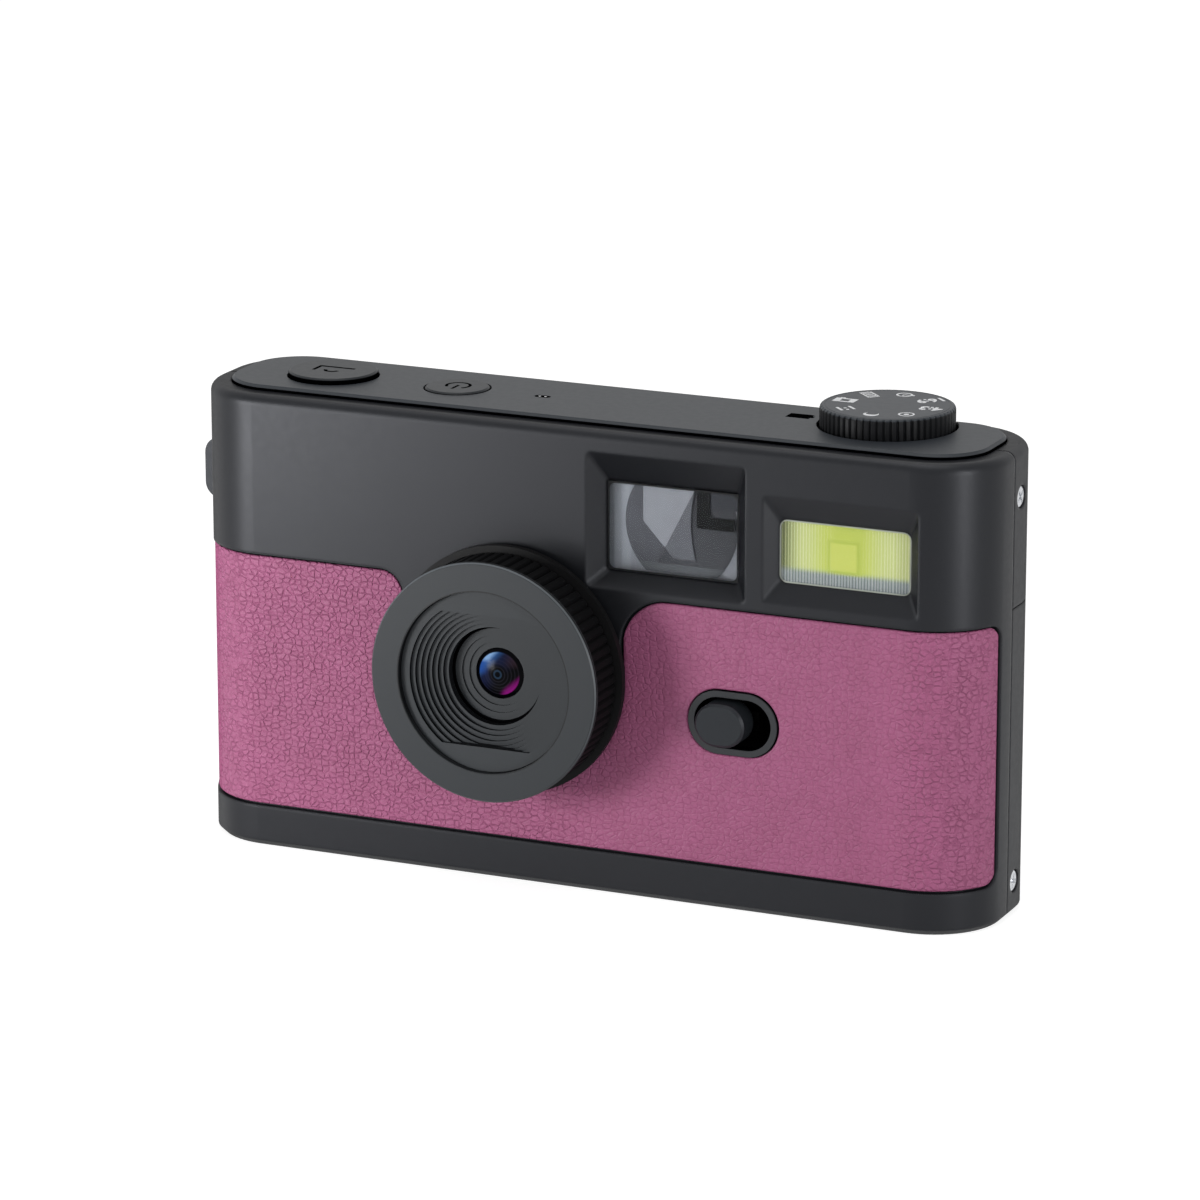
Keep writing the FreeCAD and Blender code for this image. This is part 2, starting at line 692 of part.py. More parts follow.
def leather_band(label, grow, outer, inner):
    """The leather's form between two insets of the housing outline, grown at its edges."""
    low = size.leather_low - grow
    high = size.leather_high + grow
    band = new_body(label + "_band")
    drawing = sketch(band, "top", low)
    plan_outline(drawing, outer)
    plan_outline(drawing, inner)
    pad(band, drawing, high - low)

    outline = new_body(label + "_outline")
    drawing = sketch(outline, "front", front - MARGIN, at=(lens_x, 0.0))
    half = size.notch_half_width - grow
    left_round = size.notch_left_radius + grow
    right_round = size.notch_right_radius + grow
    far_left = -half_width - MARGIN * 2 - lens_x
    far_right = half_width + MARGIN * 2 - lens_x
    path(drawing, [
        (far_left, low - MARGIN),
        (far_right, low - MARGIN),
        (far_right, high),
        (half + right_round, high, half + right_round, high - right_round, 1),
        (half, high - right_round),
        (half, size.lens_height, 0.0, size.lens_height, -1),
        (-half, size.lens_height),
        (-half, high - left_round, -half - left_round, high - left_round, 1),
        (-half - left_round, high),
        (far_left, high),
    ])
    pad(outline, drawing, size.body_depth, against=True)

    ends = new_body(label + "_ends")
    drawing = sketch(ends, "side", -half_width - MARGIN * 2)
    end = front + size.leather_reach + grow
    radius = size.leather_end_radius + grow
    path(drawing, [
        (front - MARGIN * 2, low),
        (end - radius, low, end - radius, low + radius, 1),
        (end, low + radius),
        (end, high - radius, end - radius, high - radius, 1),
        (end - radius, high),
        (front - MARGIN * 2, high),
    ])
    pad(ends, drawing, size.body_width + MARGIN * 4)
    return common(label, [band, outline, ends])


def leather_wrap():
    """Leather let into the front, round both corners, with a cut-out over the lens."""
    inner = size.leather_sink + size.leather_thickness
    leather = leather_band("leather_sheet", 0.0, size.leather_sink, inner)
    hole = new_body("leather_hole")
    drawing = sketch(hole, "front", front - MARGIN, at=(switch_x, size.switch_level))
    stadium(drawing, size.bezel_length + size.leather_groove, size.bezel_width + size.leather_groove)
    pad(hole, drawing, size.wall + MARGIN, against=True)
    return without("leather_wrap", leather, [hole])


def sloped_frame(label, outer, window, sink):
    """The hollow of a frame that slopes in from the front face to a smaller window."""
    part = new_body(label)
    hollow = part.newObject("PartDesign::AdditiveWedge", label + "_slope")
    slope(hollow, (outer, window), (front, front + sink))
    round_edges(part, hollow, size.frame_corner, lambda box: box.YMax - box.YMin > 1e-4)
    return part


def finder_edges(margin):
    """The viewfinder window's edges, grown by a margin: left, right, low, high."""
    level = window_low + window_tall / 2
    return around(finder_x, level, window_wide / 2 + margin, window_tall / 2 + margin)


def strap_pocket(label):
    """The hollow behind the strap bar."""
    middle = (size.strap_low + size.strap_high) / 2
    half = (size.strap_high - size.strap_low) / 2 - size.strap_thickness
    spread = size.strap_width / 2 + size.fit_gap * 3
    x_range = (-half_width - MARGIN, -half_width + size.strap_pocket)
    return box(label, x_range, (parting - spread, parting + spread), (middle - half, middle + half))


def strap_seat(label):
    """Slots in the side wall for the feet of the strap bar."""
    feet = []
    for name, low in (("lower", size.strap_low), ("upper", size.strap_high - size.strap_thickness)):
        x_range = (-half_width - MARGIN, -half_width + size.strap_pocket + size.fit_gap)
        y_range = (parting - size.strap_width / 2 - size.fit_gap,
                   parting + size.strap_width / 2 + size.fit_gap)
        z_range = (low - size.fit_gap, low + size.strap_thickness + size.fit_gap)
        feet.append(box(f"{label}_{name}", x_range, y_range, z_range))
    return joined(label, feet)


def front_shell():
    """Front shell with the sloped frames, lens hole, lip, screw lugs and board posts."""
    part = new_body("front_shell_blank")
    drawing = sketch(part, "top")
    plan_outline(drawing, 0.0)
    blank = pad(part, drawing, size.shell_height)
    blank = round_edges(part, blank, size.top_round, flat_at_z(size.shell_height))
    round_edges(part, blank, size.base_bevel, flat_at_z(0.0), bevel=True)

    drawing = sketch(part, "top", size.wall)
    plan_outline(drawing, size.wall)
    pocket(part, drawing, inner_top - size.wall, along=True)

    drawing = sketch(part, "front", parting - size.seam_gap / 2)
    reach = half_width + MARGIN
    rectangle(drawing, -reach, reach, -MARGIN, size.shell_height + MARGIN)
    pocket(part, drawing, size.body_depth)

    top_opening(part)

    # lip that locates the rear covers, from a root that is fused with the wall
    lip_low = size.wall + size.fit_gap
    lip_high = inner_top - size.fit_gap
    lip_out = half_width - size.wall - size.fit_gap
    thick = size.lip_thickness
    root = parting - size.lip_length
    for grow, length in ((size.fit_gap * 2, size.lip_length - size.seam_gap / 2),
                         (0.0, size.lip_length * 2)):
        drawing = sketch(part, "front", root)
        out = lip_out + grow
        rectangle(drawing, -out, out, lip_low - grow, lip_high + grow)
        out = lip_out - thick
        rectangle(drawing, -out, out, lip_low + thick, lip_high - thick)
        pad(part, drawing, length, against=True)

    # gap in the lip where the top plate's parts hang
    opening = half_width - size.plate_inset - size.plate_ledge
    drawing = sketch(part, "top", inner_top + MARGIN)
    rectangle(drawing, -opening, opening, root - MARGIN, parting + size.lip_length + MARGIN)
    pocket(part, drawing, thick + size.fit_gap + MARGIN)

    # lugs that take the side screws
    lug_out = half_width - size.wall - size.lug_gap
    half_lug = size.lug_size / 2
    for low, level in ((lip_low, size.lower_screw), (size.upper_screw - half_lug, size.upper_screw)):
        for side in (1, -1):
            drawing = sketch(part, "front", root)
            near = lug_out * side
            far = (lug_out - size.lug_size) * side
            rectangle(drawing, near, far, low, level + half_lug)
            pad(part, drawing, size.lip_length + size.screw_back + half_lug, against=True)

    # posts that carry the main board
    for level in board_post_levels():
        for x in both_sides(board_post_x):
            drawing = sketch(part, "front", board_front, at=(x, level))
            polygon(drawing, 0.0, 0.0, size.post_radius, HIDDEN_SIDES)
            pad(part, drawing, board_front - front - size.wall / 2 - size.leather_thickness)

    # thicker frame behind the viewfinder
    drawing = sketch(part, "front", inner_front)
    spread = size.finder_width / 2
    edges = (finder_x - spread, finder_x + spread)
    top = size.finder_low + size.finder_tall
    rectangle(drawing, *edges, size.finder_low, top)
    pad(part, drawing, boss_back - inner_front, against=True)

    # windows of the viewfinder and the flash
    for edges, sink in ((finder_edges(0.0), size.finder_sink), (lamp_edges(0.0), size.flash_sink)):
        drawing = sketch(part, "front", front + sink)
        rounded(drawing, *edges, size.window_corner)
        pocket(part, drawing, size.wall + MARGIN)

    # rebate that takes the viewfinder window from behind
    drawing = sketch(part, "front", glass_front)
    rectangle(drawing, *finder_edges(size.glass_margin + size.fit_gap))
    pocket(part, drawing, size.glass_thickness + size.fit_gap + MARGIN)

    # lens hole
    drawing = sketch(part, "front", front, at=(lens_x, size.lens_height))
    polygon(drawing, 0.0, 0.0, size.spigot_radius + size.fit_gap, SPIGOT_SIDES)
    pocket(part, drawing, size.wall + MARGIN)

    # switch hole
    drawing = sketch(part, "front", front, at=(switch_x, size.switch_level))
    stadium(drawing, size.bezel_length + size.fit_gap, size.bezel_width + size.fit_gap)
    pocket(part, drawing, size.wall + MARGIN)

    # sound holes in the floor
    drawing = sketch(part, "top", size.wall, at=(speaker_x, speaker_y()))
    for step in (-1, 0, 1):
        circle(drawing, size.sound_spacing * step, 0.0, size.sound_hole)
    pocket(part, drawing, size.wall + MARGIN)

    recess = leather_band("leather_recess", size.leather_groove, -MARGIN,
                          size.leather_sink + size.leather_thickness)
    tools = [recess, strap_pocket("front_strap_pocket"), strap_seat("front_strap_seat")]
    half = size.finder_width / 2
    outer = (finder_x - half, finder_x + half, size.finder_low, size.finder_low + size.finder_tall)
    tools.append(sloped_frame("finder_frame", outer, finder_edges(0.0), size.finder_sink))
    half = size.flash_width / 2
    outer = (flash_x - half, flash_x + half, size.flash_low, size.flash_low + size.flash_tall)
    tools.append(sloped_frame("flash_frame", outer, lamp_edges(0.0), size.flash_sink))
    tools += screw_bores("front_screw_bore", size.screw_radius + size.fit_gap / 2)
    tools += post_bores("front_post_bore")
    return without("front_shell", part, tools)


def top_opening(part):
    """Rebate and opening for the top plate."""
    drawing = sketch(part, "top", size.shell_height)
    plan_outline(drawing, size.plate_inset - size.plate_gap)
    pocket(part, drawing, size.plate_thickness - size.plate_rise)
    drawing = sketch(part, "top", size.shell_height)
    plan_outline(drawing, size.plate_inset + size.plate_ledge)
    pocket(part, drawing, size.wall + MARGIN)


def board_post_levels():
    """Heights of the posts that carry the main board."""
    return (size.board_low + size.post_edge, size.board_high - size.post_edge)


def speaker_y():
    """The speaker lies on the floor, just inside the front wall."""
    return inner_front + size.speaker_gap + size.speaker_width / 2


def prism(label, plane, level, at, radius, length):
    """A hidden piece or bore as a prism, from a level backwards along the normal."""
    part = new_body(label)
    drawing = sketch(part, plane, level, at=at)
    polygon(drawing, 0.0, 0.0, radius, HIDDEN_SIDES)
    pad(part, drawing, length, against=True)
    return part


def screw_bores(label, radius):
    """Bores for the four side screws."""
    bores = []
    for number, level in enumerate((size.lower_screw, size.upper_screw)):
        for side_name, end in (("left", -half_width + size.screw_length), ("right", half_width)):
            name = f"{label}_{side_name}_{number}"
            bores.append(prism(name, "side", end, (screw_y, level), radius, size.screw_length))
    return bores


def post_bores(label):
    """Bores in the posts for the board screws."""
    bores = []
    radius = size.screw_radius + size.fit_gap / 2
    for number, level in enumerate(board_post_levels()):
        for side_name, x in (("left", -board_post_x), ("right", board_post_x)):
            name = f"{label}_{side_name}_{number}"
            start = board_front - size.post_depth
            bores.append(prism(name, "front", start, (x, level), radius, size.post_depth + MARGIN))
    return bores


def rear_blank(label, seam, upwards):
    """Rear half of the housing, hollow, cut away above the seam or below it."""
    part = new_body(label)
    drawing = sketch(part, "top")
    plan_outline(drawing, 0.0)
    blank = pad(part, drawing, size.shell_height)
    blank = round_edges(part, blank, size.top_round, flat_at_z(size.shell_height))
    round_edges(part, blank, size.base_bevel, flat_at_z(0.0), bevel=True)
    drawing = sketch(part, "top", size.wall)
    plan_outline(drawing, size.wall)
    pocket(part, drawing, inner_top - size.wall, along=True)
    reach = half_width + MARGIN
    drawing = sketch(part, "front", parting + size.seam_gap / 2)
    rectangle(drawing, -reach, reach, -MARGIN, size.shell_height + MARGIN)
    pocket(part, drawing, size.body_depth, along=True)
    drawing = sketch(part, "top", seam)
    rectangle(drawing, -reach, reach, front - MARGIN, back + MARGIN)
    pocket(part, drawing, size.shell_height, along=upwards)
    return part


def screw_seats(label, level):
    """Sunk seats for the two side screws at one height, and the holes for their shanks."""
    tools = []
    for side_name, start, end in (("left", -half_width - MARGIN, -half_width + size.wall + MARGIN),
                                  ("right", half_width - size.screw_sink, half_width)):
        name = f"{label}_{side_name}"
        head = size.screw_head + size.fit_gap
        tools.append(rod(name, (start, screw_y, level), size.screw_sink + MARGIN, head, "x"))
        shank = size.screw_radius + size.fit_gap
        depth = size.wall + MARGIN
        tools.append(prism(name + "_shank", "side", end, (screw_y, level), shank, depth))
    return tools


def rear_cover_lower():
    """Lower rear cover with the screen window, keys, ports and tripod boss."""
    part = rear_blank("rear_lower_blank", size.cover_seam - size.seam_gap / 2, True)

    # screen window and the opening behind it
    screen_opening(part, 0.0, back, size.glass_thickness + size.fit_gap)
    screen_opening(part, size.screen_margin, back, size.wall + MARGIN)

    # key holes
    for name, across, up in REAR_KEYS:
        drawing = sketch(part, "front", back, at=key_spot(across, up))
        clipped(drawing, key_radius(name) + size.button_gap, size.key_corner)
        pocket(part, drawing, size.wall + MARGIN, along=True)

    # posts for the key board
    for x, level in key_post_spots():
        drawing = sketch(part, "front", inner_back + size.wall / 2, at=(x, level))
        polygon(drawing, 0.0, 0.0, size.key_post, HIDDEN_SIDES)
        pad(part, drawing, size.key_board_drop + size.wall / 2)

    # boss round the tripod bush
    drawing = sketch(part, "top", size.wall / 2, at=(lens_x, size.bush_y))
    half = size.bush_radius + size.bush_wall
    rectangle(drawing, -half, half, -half, half)
    pad(part, drawing, size.bush_tall - size.wall / 2 - size.fit_gap)
    drawing = sketch(part, "top", size.bush_tall + MARGIN, at=(lens_x, size.bush_y))
    circle(drawing, 0.0, 0.0, size.bush_radius + size.fit_gap / 2)
    pocket(part, drawing, size.bush_tall + MARGIN * 2)

    # charging port and card slot on the left side
    drawing = sketch(part, "side", -half_width + size.wall + MARGIN, at=(usb_y(), size.usb_level))
    upright_stadium(drawing, size.usb_width + size.fit_gap * 2, size.usb_thick + size.fit_gap * 2)
    pocket(part, drawing, size.wall + MARGIN * 2)
    drawing = sketch(part, "side", -half_width + size.wall + MARGIN, at=(card_y(), size.card_level))
    upright_stadium(drawing, size.slot_width, size.slot_thick)
    pocket(part, drawing, size.wall + MARGIN * 2)

    return without("rear_cover_lower", part, screw_seats("lower_seat", size.lower_screw))


def rear_cover_upper():
    """Upper rear cover with the eyepiece and the ledge of the top plate."""
    part = rear_blank("rear_upper_blank", size.cover_seam + size.seam_gap / 2, False)
    top_opening(part)
    drawing = sketch(part, "front", back)
    rectangle(drawing, *eyepiece_edges(0.0))
    pocket(part, drawing, size.wall + MARGIN, along=True)

    # clearance for the dial, which stands across the top plate's rear edge
    drawing = sketch(part, "top", dial_floor, at=(dial_x, size.dial_y))
    circle(drawing, 0.0, 0.0, size.dial_radius + size.dial_recess_gap)
    pocket(part, drawing, size.dial_sink + MARGIN, along=True)

    tools = [strap_pocket("rear_strap_pocket"), strap_seat("rear_strap_seat")]
    ends = (eyepiece_edges(0.0), eyepiece_edges(size.eyepiece_slope))
    tools.append(wedge("eyepiece_slopes", ends, (back - size.eyepiece_sink, back)))
    tools += screw_seats("upper_seat", size.upper_screw)
    return without("rear_cover_upper", part, tools)


def upright_stadium(drawing, length, width):
    """A slot shape about the sketch's origin, its long side along y."""
    reach = (length - width) / 2
    path(drawing, [
        (width / 2, -reach),
        (width / 2, reach, 0.0, reach, 1),
        (-width / 2, reach),
        (-width / 2, -reach, 0.0, -reach, 1),
    ])


def usb_y():
    """The charging port stands on the back of the main board."""
    return board_back + size.usb_thick / 2


def card_y():
    """The card socket lies on the back of the main board."""
    return board_back + size.card_thick / 2


def screen_opening(part, inset, level, depth):
    """Cuts the screen window's outline from the rear face, moved in by inset."""
    drawing = sketch(part, "front", level)
    screen_outline(drawing, inset)
    pocket(part, drawing, depth, along=True)


def screen_edges(inset):
    """The screen window's edges, moved in by inset: left, right, low, high."""
    tall = size.screen_tall / 2 - inset
    return around(size.screen_x, screen_level, size.screen_width / 2 - inset, tall)


def screen_outline(drawing, inset):
    """The screen window's outline, moved in by inset."""
    rounded(drawing, *screen_edges(inset), size.screen_radius)


def key_radius(name):
    """Radius of a rear key."""
    return size.ok_radius if name == "ok_key" else size.key_radius


def key_spot(across, up):
    """Middle of a rear key."""
    return (keys_x + size.keys_spacing * across, screen_level + size.keys_spacing * up)


def key_post_spots():
    """Posts of the key board, in two corners of the key cross."""
    offset = size.key_post_offset
    return ((keys_x - offset, screen_level - offset),
            (keys_x + offset, screen_level + offset))


def top_plate():
    """Raised top plate with the control openings, the dial recess and the board's posts."""
    part = new_body("top_plate")
    drawing = sketch(part, "top", plate_under)
    plan_outline(drawing, size.plate_inset)
    plate = pad(part, drawing, size.plate_thickness)
    round_edges(part, plate, size.plate_edge, flat_at_z(plate_top), bevel=True)

    for x, radius in ((shutter_x, size.shutter_radius), (power_x, size.power_radius)):
        drawing = sketch(part, "top", plate_top, at=(x, 0.0))
        circle(drawing, 0.0, 0.0, radius + size.button_gap)
        pocket(part, drawing, size.plate_thickness)

    # posts that carry the button board
    for x, y in button_post_spots():
        drawing = sketch(part, "top", plate_under, at=(x, y))
        polygon(drawing, 0.0, 0.0, size.hanger_radius, HIDDEN_SIDES)
        pad(part, drawing, size.button_board_drop, against=True)

    # recess and shaft hole of the dial
    drawing = sketch(part, "top", plate_top, at=(dial_x, size.dial_y))
    circle(drawing, 0.0, 0.0, size.dial_radius + size.dial_recess_gap)
    pocket(part, drawing, size.dial_sink)
    drawing = sketch(part, "top", plate_top, at=(dial_x, size.dial_y))
    circle(drawing, 0.0, 0.0, size.shaft_radius + size.running_gap)
    pocket(part, drawing, size.plate_thickness + MARGIN)

    # index mark beside the dial
    mark_end = dial_x - size.dial_radius - size.dial_recess_gap - size.mark_gap
    drawing = sketch(part, "top", plate_top)
    rectangle(drawing, mark_end - size.mark_length, mark_end,
              size.dial_y - size.mark_width / 2, size.dial_y + size.mark_width / 2)
    pocket(part, drawing, size.mark_depth)

    # window of the status lights
    drawing = sketch(part, "top", plate_top, at=(status_x, 0.0))
    stadium(drawing, size.status_length + size.fit_gap, size.status_width + size.fit_gap)
    pocket(part, drawing, size.plate_thickness + MARGIN)
    return part


def button_post_spots():
    """Posts that hang the button board from the top plate."""
    middle = (shutter_x + size.shutter_radius + power_x - size.power_radius) / 2
    end = microphone_x
    return ((middle, -size.hanger_y), (middle, size.hanger_y), (end, size.hanger_y))


def status_light():
    """Small window with two lights."""
    part = new_body("status_light")
    drawing = sketch(part, "top", plate_under, at=(status_x, 0.0))
    stadium(drawing, size.status_length, size.status_width)
    pad(part, drawing, size.plate_thickness)
    return part


def push_button(label, x, radius, rise, travel):
    """Round button: cap, retaining tabs under the plate, and stem into its switch."""
    part = new_body(label)
    drawing = sketch(part, "front", 0.0, at=(x, 0.0))
    top = plate_top + rise
    low = plate_under - size.fit_gap - size.flange_thickness
    edge = size.button_edge
    path(drawing, [(0.0, low), (radius, low), (radius, top - edge), (radius - edge, top),
                   (0.0, top)])
    turn(part, drawing)
    drawing = sketch(part, "top", low, at=(x, 0.0))
    tab = radius + size.button_gap + size.tab_reach
    rectangle(drawing, *around(0.0, 0.0, tab, size.tab_width / 2))
    pad(part, drawing, size.flange_thickness)
    stem_low = button_board_top + size.switch_tall - size.stem_overlap + travel
    drawing = sketch(part, "top", low, at=(x, 0.0))
    polygon(drawing, 0.0, 0.0, size.stem_radius, HIDDEN_SIDES)
    pad(part, drawing, low - stem_low, against=True)
    return part


def push_switch(label, x):
    """Push switch on the button board, with a bore for the stem."""
    part = new_body(label)
    drawing = sketch(part, "top", button_board_top, at=(x, 0.0))
    half = size.switch_side / 2
    rectangle(drawing, -half, half, -half, half)
    pad(part, drawing, size.switch_tall)
    drawing = sketch(part, "top", button_board_top + size.switch_tall, at=(x, 0.0))
    polygon(drawing, 0.0, 0.0, size.stem_radius + size.turning_gap, HIDDEN_SIDES)
    pocket(part, drawing, size.switch_bore)
    return part


def button_board():
    """Board that hangs under the top plate."""
    part = new_body("button_board")
    left = shutter_x - size.shutter_radius
    right = microphone_x + size.microphone_radius + size.button_board_edge
    half = size.hanger_y + size.button_board_edge
    drawing = sketch(part, "top", button_board_top)
    rectangle(drawing, left, right, -half, half)
    pad(part, drawing, size.board_thickness, against=True)
    return part


def microphone():
    """Microphone on the button board, beside the status lights."""
    top = button_board_top + size.microphone_tall
    spot = (microphone_x, 0.0)
    return prism("microphone", "top", top, spot, size.microphone_radius, size.microphone_tall)


def mode_dial():
    """Ridged dial with a hub that takes the shaft."""
    part = new_body("mode_dial")
    drawing = sketch(part, "front", size.dial_y, at=(dial_x, 0.0))
    low = dial_low
    top = plate_top + size.dial_rise
    edge = size.dial_chamfer
    path(drawing, [(0.0, low + size.dial_hub), (size.shaft_radius, low + size.dial_hub),
                   (size.shaft_radius, low), (size.dial_radius, low),
                   (size.dial_radius, top - edge), (size.dial_radius - edge, top), (0.0, top)])
    turn(part, drawing)
    drawing = sketch(part, "top", top, at=(dial_x, size.dial_y))
    vee(drawing, size.dial_radius, size.ridge_depth, size.ridge_notch)
    notch = pocket(part, drawing, top - low + MARGIN)
    ring_of(part, notch, drawing, DIAL_NOTCHES)
    return part


def dial_shaft():
    """Shaft between the dial and its switch."""
    low = plate_under - size.encoder_bore + size.running_gap
    top = dial_low + size.dial_hub
    spot = (dial_x, size.dial_y, low)
    return rod("dial_shaft", spot, top - low, size.shaft_radius, "z")


def dial_encoder():
    """Rotary switch under the top plate, with the shaft's bearing bore."""
    part = new_body("dial_encoder")
    half = size.encoder_size / 2
    drawing = sketch(part, "top", plate_under, at=(dial_x, size.dial_y))
    rectangle(drawing, -half, half, -half, half)
    pad(part, drawing, size.encoder_tall, against=True)
    drawing = sketch(part, "top", plate_under, at=(dial_x, size.dial_y))
    circle(drawing, 0.0, 0.0, size.shaft_radius + size.turning_gap)
    pocket(part, drawing, size.encoder_bore)
    return part


def dial_board():
    """Small board under the dial's switch."""
    low = plate_under - size.encoder_tall - size.board_thickness
    half = size.encoder_size / 2
    reach = size.dial_board_width / 2
    x_range = (dial_x - reach, dial_x + reach)
    y_range = (size.dial_y - half, size.dial_y + half)
    return box("dial_board", x_range, y_range, (low, low + size.board_thickness))


def lens_sketch(part):
    """A half section of a turned lens part: x is the radius, y the depth."""
    return sketch(part, "top", size.lens_height, at=(lens_x, 0.0))


def lens_housing():
    """Fixed collar and tube that carry the ring and the baffle, keyed in the shell by flats."""
    part = new_body("lens_housing")
    drawing = lens_sketch(part)
    tube_end = lens_front + size.ring_lip + size.running_gap
    path(drawing, [(size.tube_bore, tube_end), (size.tube_radius, tube_end),
                   (size.tube_radius, front - size.collar_length),
                   (size.collar_radius, front - size.collar_length),
                   (size.collar_radius, front - size.collar_foot),
                   (size.collar_radius - size.collar_step, front - size.collar_foot),
                   (size.collar_radius - size.collar_step, front), (size.tube_bore, front)])
    turn(part, drawing)
    drawing = sketch(part, "front", front, at=(lens_x, size.lens_height))
    polygon(drawing, 0.0, 0.0, size.spigot_radius, SPIGOT_SIDES)
    circle(drawing, 0.0, 0.0, size.tube_bore)
    pad(part, drawing, size.wall, against=True)
    return part


def focus_ring():
    """Knurled ring with a smooth rim, turning on the fixed tube."""
    part = new_body("focus_ring")
    drawing = lens_sketch(part)
    bore = size.tube_radius + size.turning_gap
    foot = front - size.collar_length - size.running_gap
    rim_back = lens_front + size.rim_length
    groove = rim_back + size.grip_groove
    core = size.grip_radius - size.grip_depth
    edge = size.rim_chamfer
    path(drawing, [(size.ring_bore, lens_front), (size.rim_radius - edge, lens_front),
                   (size.rim_radius, lens_front + edge), (size.rim_radius, rim_back),
                   (core, rim_back), (core, groove), (size.grip_radius, groove),
                   (size.grip_radius, foot), (bore, foot), (bore, lens_front + size.ring_lip),
                   (size.ring_bore, lens_front + size.ring_lip)])
    turn(part, drawing)
    drawing = sketch(part, "front", foot, at=(lens_x, size.lens_height))
    vee(drawing, size.grip_radius, size.grip_depth, size.grip_notch)
    notch = pocket(part, drawing, foot - groove, along=True)
    ring_of(part, notch, drawing, GRIP_NOTCHES)
    return part


def funnel_profile():
    """Corners of the stepped funnel from its rim down to the pupil, and the pupil's depth."""
    corners = []
    radius = size.funnel_radius
    depth = baffle_front
    for number in range(FUNNEL_STEPS):
        corners.append((radius, depth))
        depth = depth + size.step_drop
        corners.append((radius, depth))
        radius = radius - size.step_width
    corners.append((radius, depth))
    depth = depth + size.well_drop
    corners.append((radius, depth))
    radius = size.well_radius
    for number in range(INNER_RINGS):
        corners.append((radius, depth))
        depth = depth + size.ring_drop
        corners.append((radius, depth))
        radius = radius - size.ring_width
    corners.append((size.pupil_radius, depth))
    return corners, depth


def lens_baffle():
    """Stepped funnel, cut by two flats, with the bore that guides the lens cell."""
    corners, floor = funnel_profile()
    lip_back = floor + size.pupil_depth
    bore = size.cell_radius + size.turning_gap
    skirt = size.tube_bore - size.fit_gap / 2
    shoulder = lens_front + size.ring_lip + size.running_gap
    skirt_back = lip_back + size.guide_length
    part = new_body("lens_baffle")
    drawing = lens_sketch(part)
    path(drawing, [(size.baffle_radius, baffle_front)] + corners + [
        (size.pupil_radius, lip_back), (bore, lip_back), (bore, skirt_back),
        (skirt, skirt_back), (skirt, shoulder), (size.baffle_radius, shoulder)])
    turn(part, drawing)
    reach = size.funnel_radius + size.step_width / 2
    half = Length(f"sqrt(pow({reach.text}; 2) - pow({size.funnel_flat.text}; 2))")
    for side in (1, -1):
        drawing = sketch(part, "front", skirt_back, at=(lens_x, size.lens_height))
        level = size.funnel_flat * side
        path(drawing, [(half * side, level, 0.0, 0.0, 1), (-half * side, level)])
        pad(part, drawing, skirt_back - baffle_front)
    return part


def lens_cell():
    """Tube with the lens elements, open behind."""
    floor = funnel_profile()[1]
    seat = floor + size.pupil_depth + size.focus_travel + size.fit_gap
    tail = inner_front + size.cell_tail
    part = new_body("lens_cell")
    drawing = lens_sketch(part)
    path(drawing, [(0.0, seat), (size.cell_radius, seat), (size.cell_radius, tail),
                   (size.cell_stop, tail), (size.cell_stop, inner_front), (0.0, inner_front)])
    turn(part, drawing)
    return part


def lens_glass():
    """Domed front glass in the pupil."""
    floor = funnel_profile()[1]
    seat = floor + size.pupil_depth + size.focus_travel + size.fit_gap
    part = new_body("lens_glass")
    drawing = lens_sketch(part)
    edge = floor + size.fit_gap
    crown = size.glass_crown
    ball = (size.glass_radius * size.glass_radius + crown * crown) / (crown * 2)
    apex = edge - crown
    path(drawing, [(0.0, apex, 0.0, apex + ball, 1), (size.glass_radius, edge),
                   (size.glass_radius, seat), (0.0, seat)])
    turn(part, drawing)
    return part


def sensor_holder():
    """Flange and block behind the shell that carry the sensor board and guide the lens cell."""
    part = new_body("sensor_holder")
    for width, tall, depth in ((size.holder_width, size.holder_tall, size.holder_flange),
                               (size.sensor_size, size.sensor_size, size.holder_depth)):
        drawing = sketch(part, "front", inner_front, at=(lens_x, size.lens_height))
        rectangle(drawing, -width / 2, width / 2, -tall / 2, tall / 2)
        circle(drawing, 0.0, 0.0, size.cell_radius + size.turning_gap)
        pad(part, drawing, depth, against=True)
    return part


def sensor_board():
    """Board on the back of the sensor holder."""
    half = size.sensor_size / 2
    start = inner_front + size.holder_depth
    return box("sensor_board", (lens_x - half, lens_x + half),
               (start, start + size.board_thickness),
               (size.lens_height - half, size.lens_height + half))


def image_sensor():
    """Image sensor on its board, behind the lens cell."""
    wide = size.sensor_width / 2
    tall = size.sensor_tall / 2
    start = inner_front + size.holder_depth
    return box("image_sensor", (lens_x - wide, lens_x + wide),
               (start - size.sensor_thick, start),
               (size.lens_height - tall, size.lens_height + tall))


def viewfinder_window():
    """Front window of the viewfinder."""
    part = new_body("viewfinder_window")
    drawing = sketch(part, "front", glass_front)
    rectangle(drawing, *finder_edges(size.glass_margin))
    pad(part, drawing, size.glass_thickness, against=True)
    return part


def viewfinder_tunnel():
    """Tapered tunnel from the front window to the eyepiece."""
    y_range = (glass_front + size.glass_thickness, inner_back - size.glass_thickness)
    ends = [(finder_edges(grow), eyepiece_edges(grow)) for grow in (size.tunnel_wall, 0.0)]
    block = wedge("tunnel_block", ends[0], y_range)
    return without("viewfinder_tunnel", block, [wedge("tunnel_hollow", ends[1], y_range)])


def eyepiece_edges(margin):
    """The eyepiece's edges, grown by a margin: left, right, low, high."""
    level = window_low + window_tall / 2
    wide = size.eyepiece_width / 2 + margin
    return around(finder_x, level, wide, size.eyepiece_tall / 2 + margin)


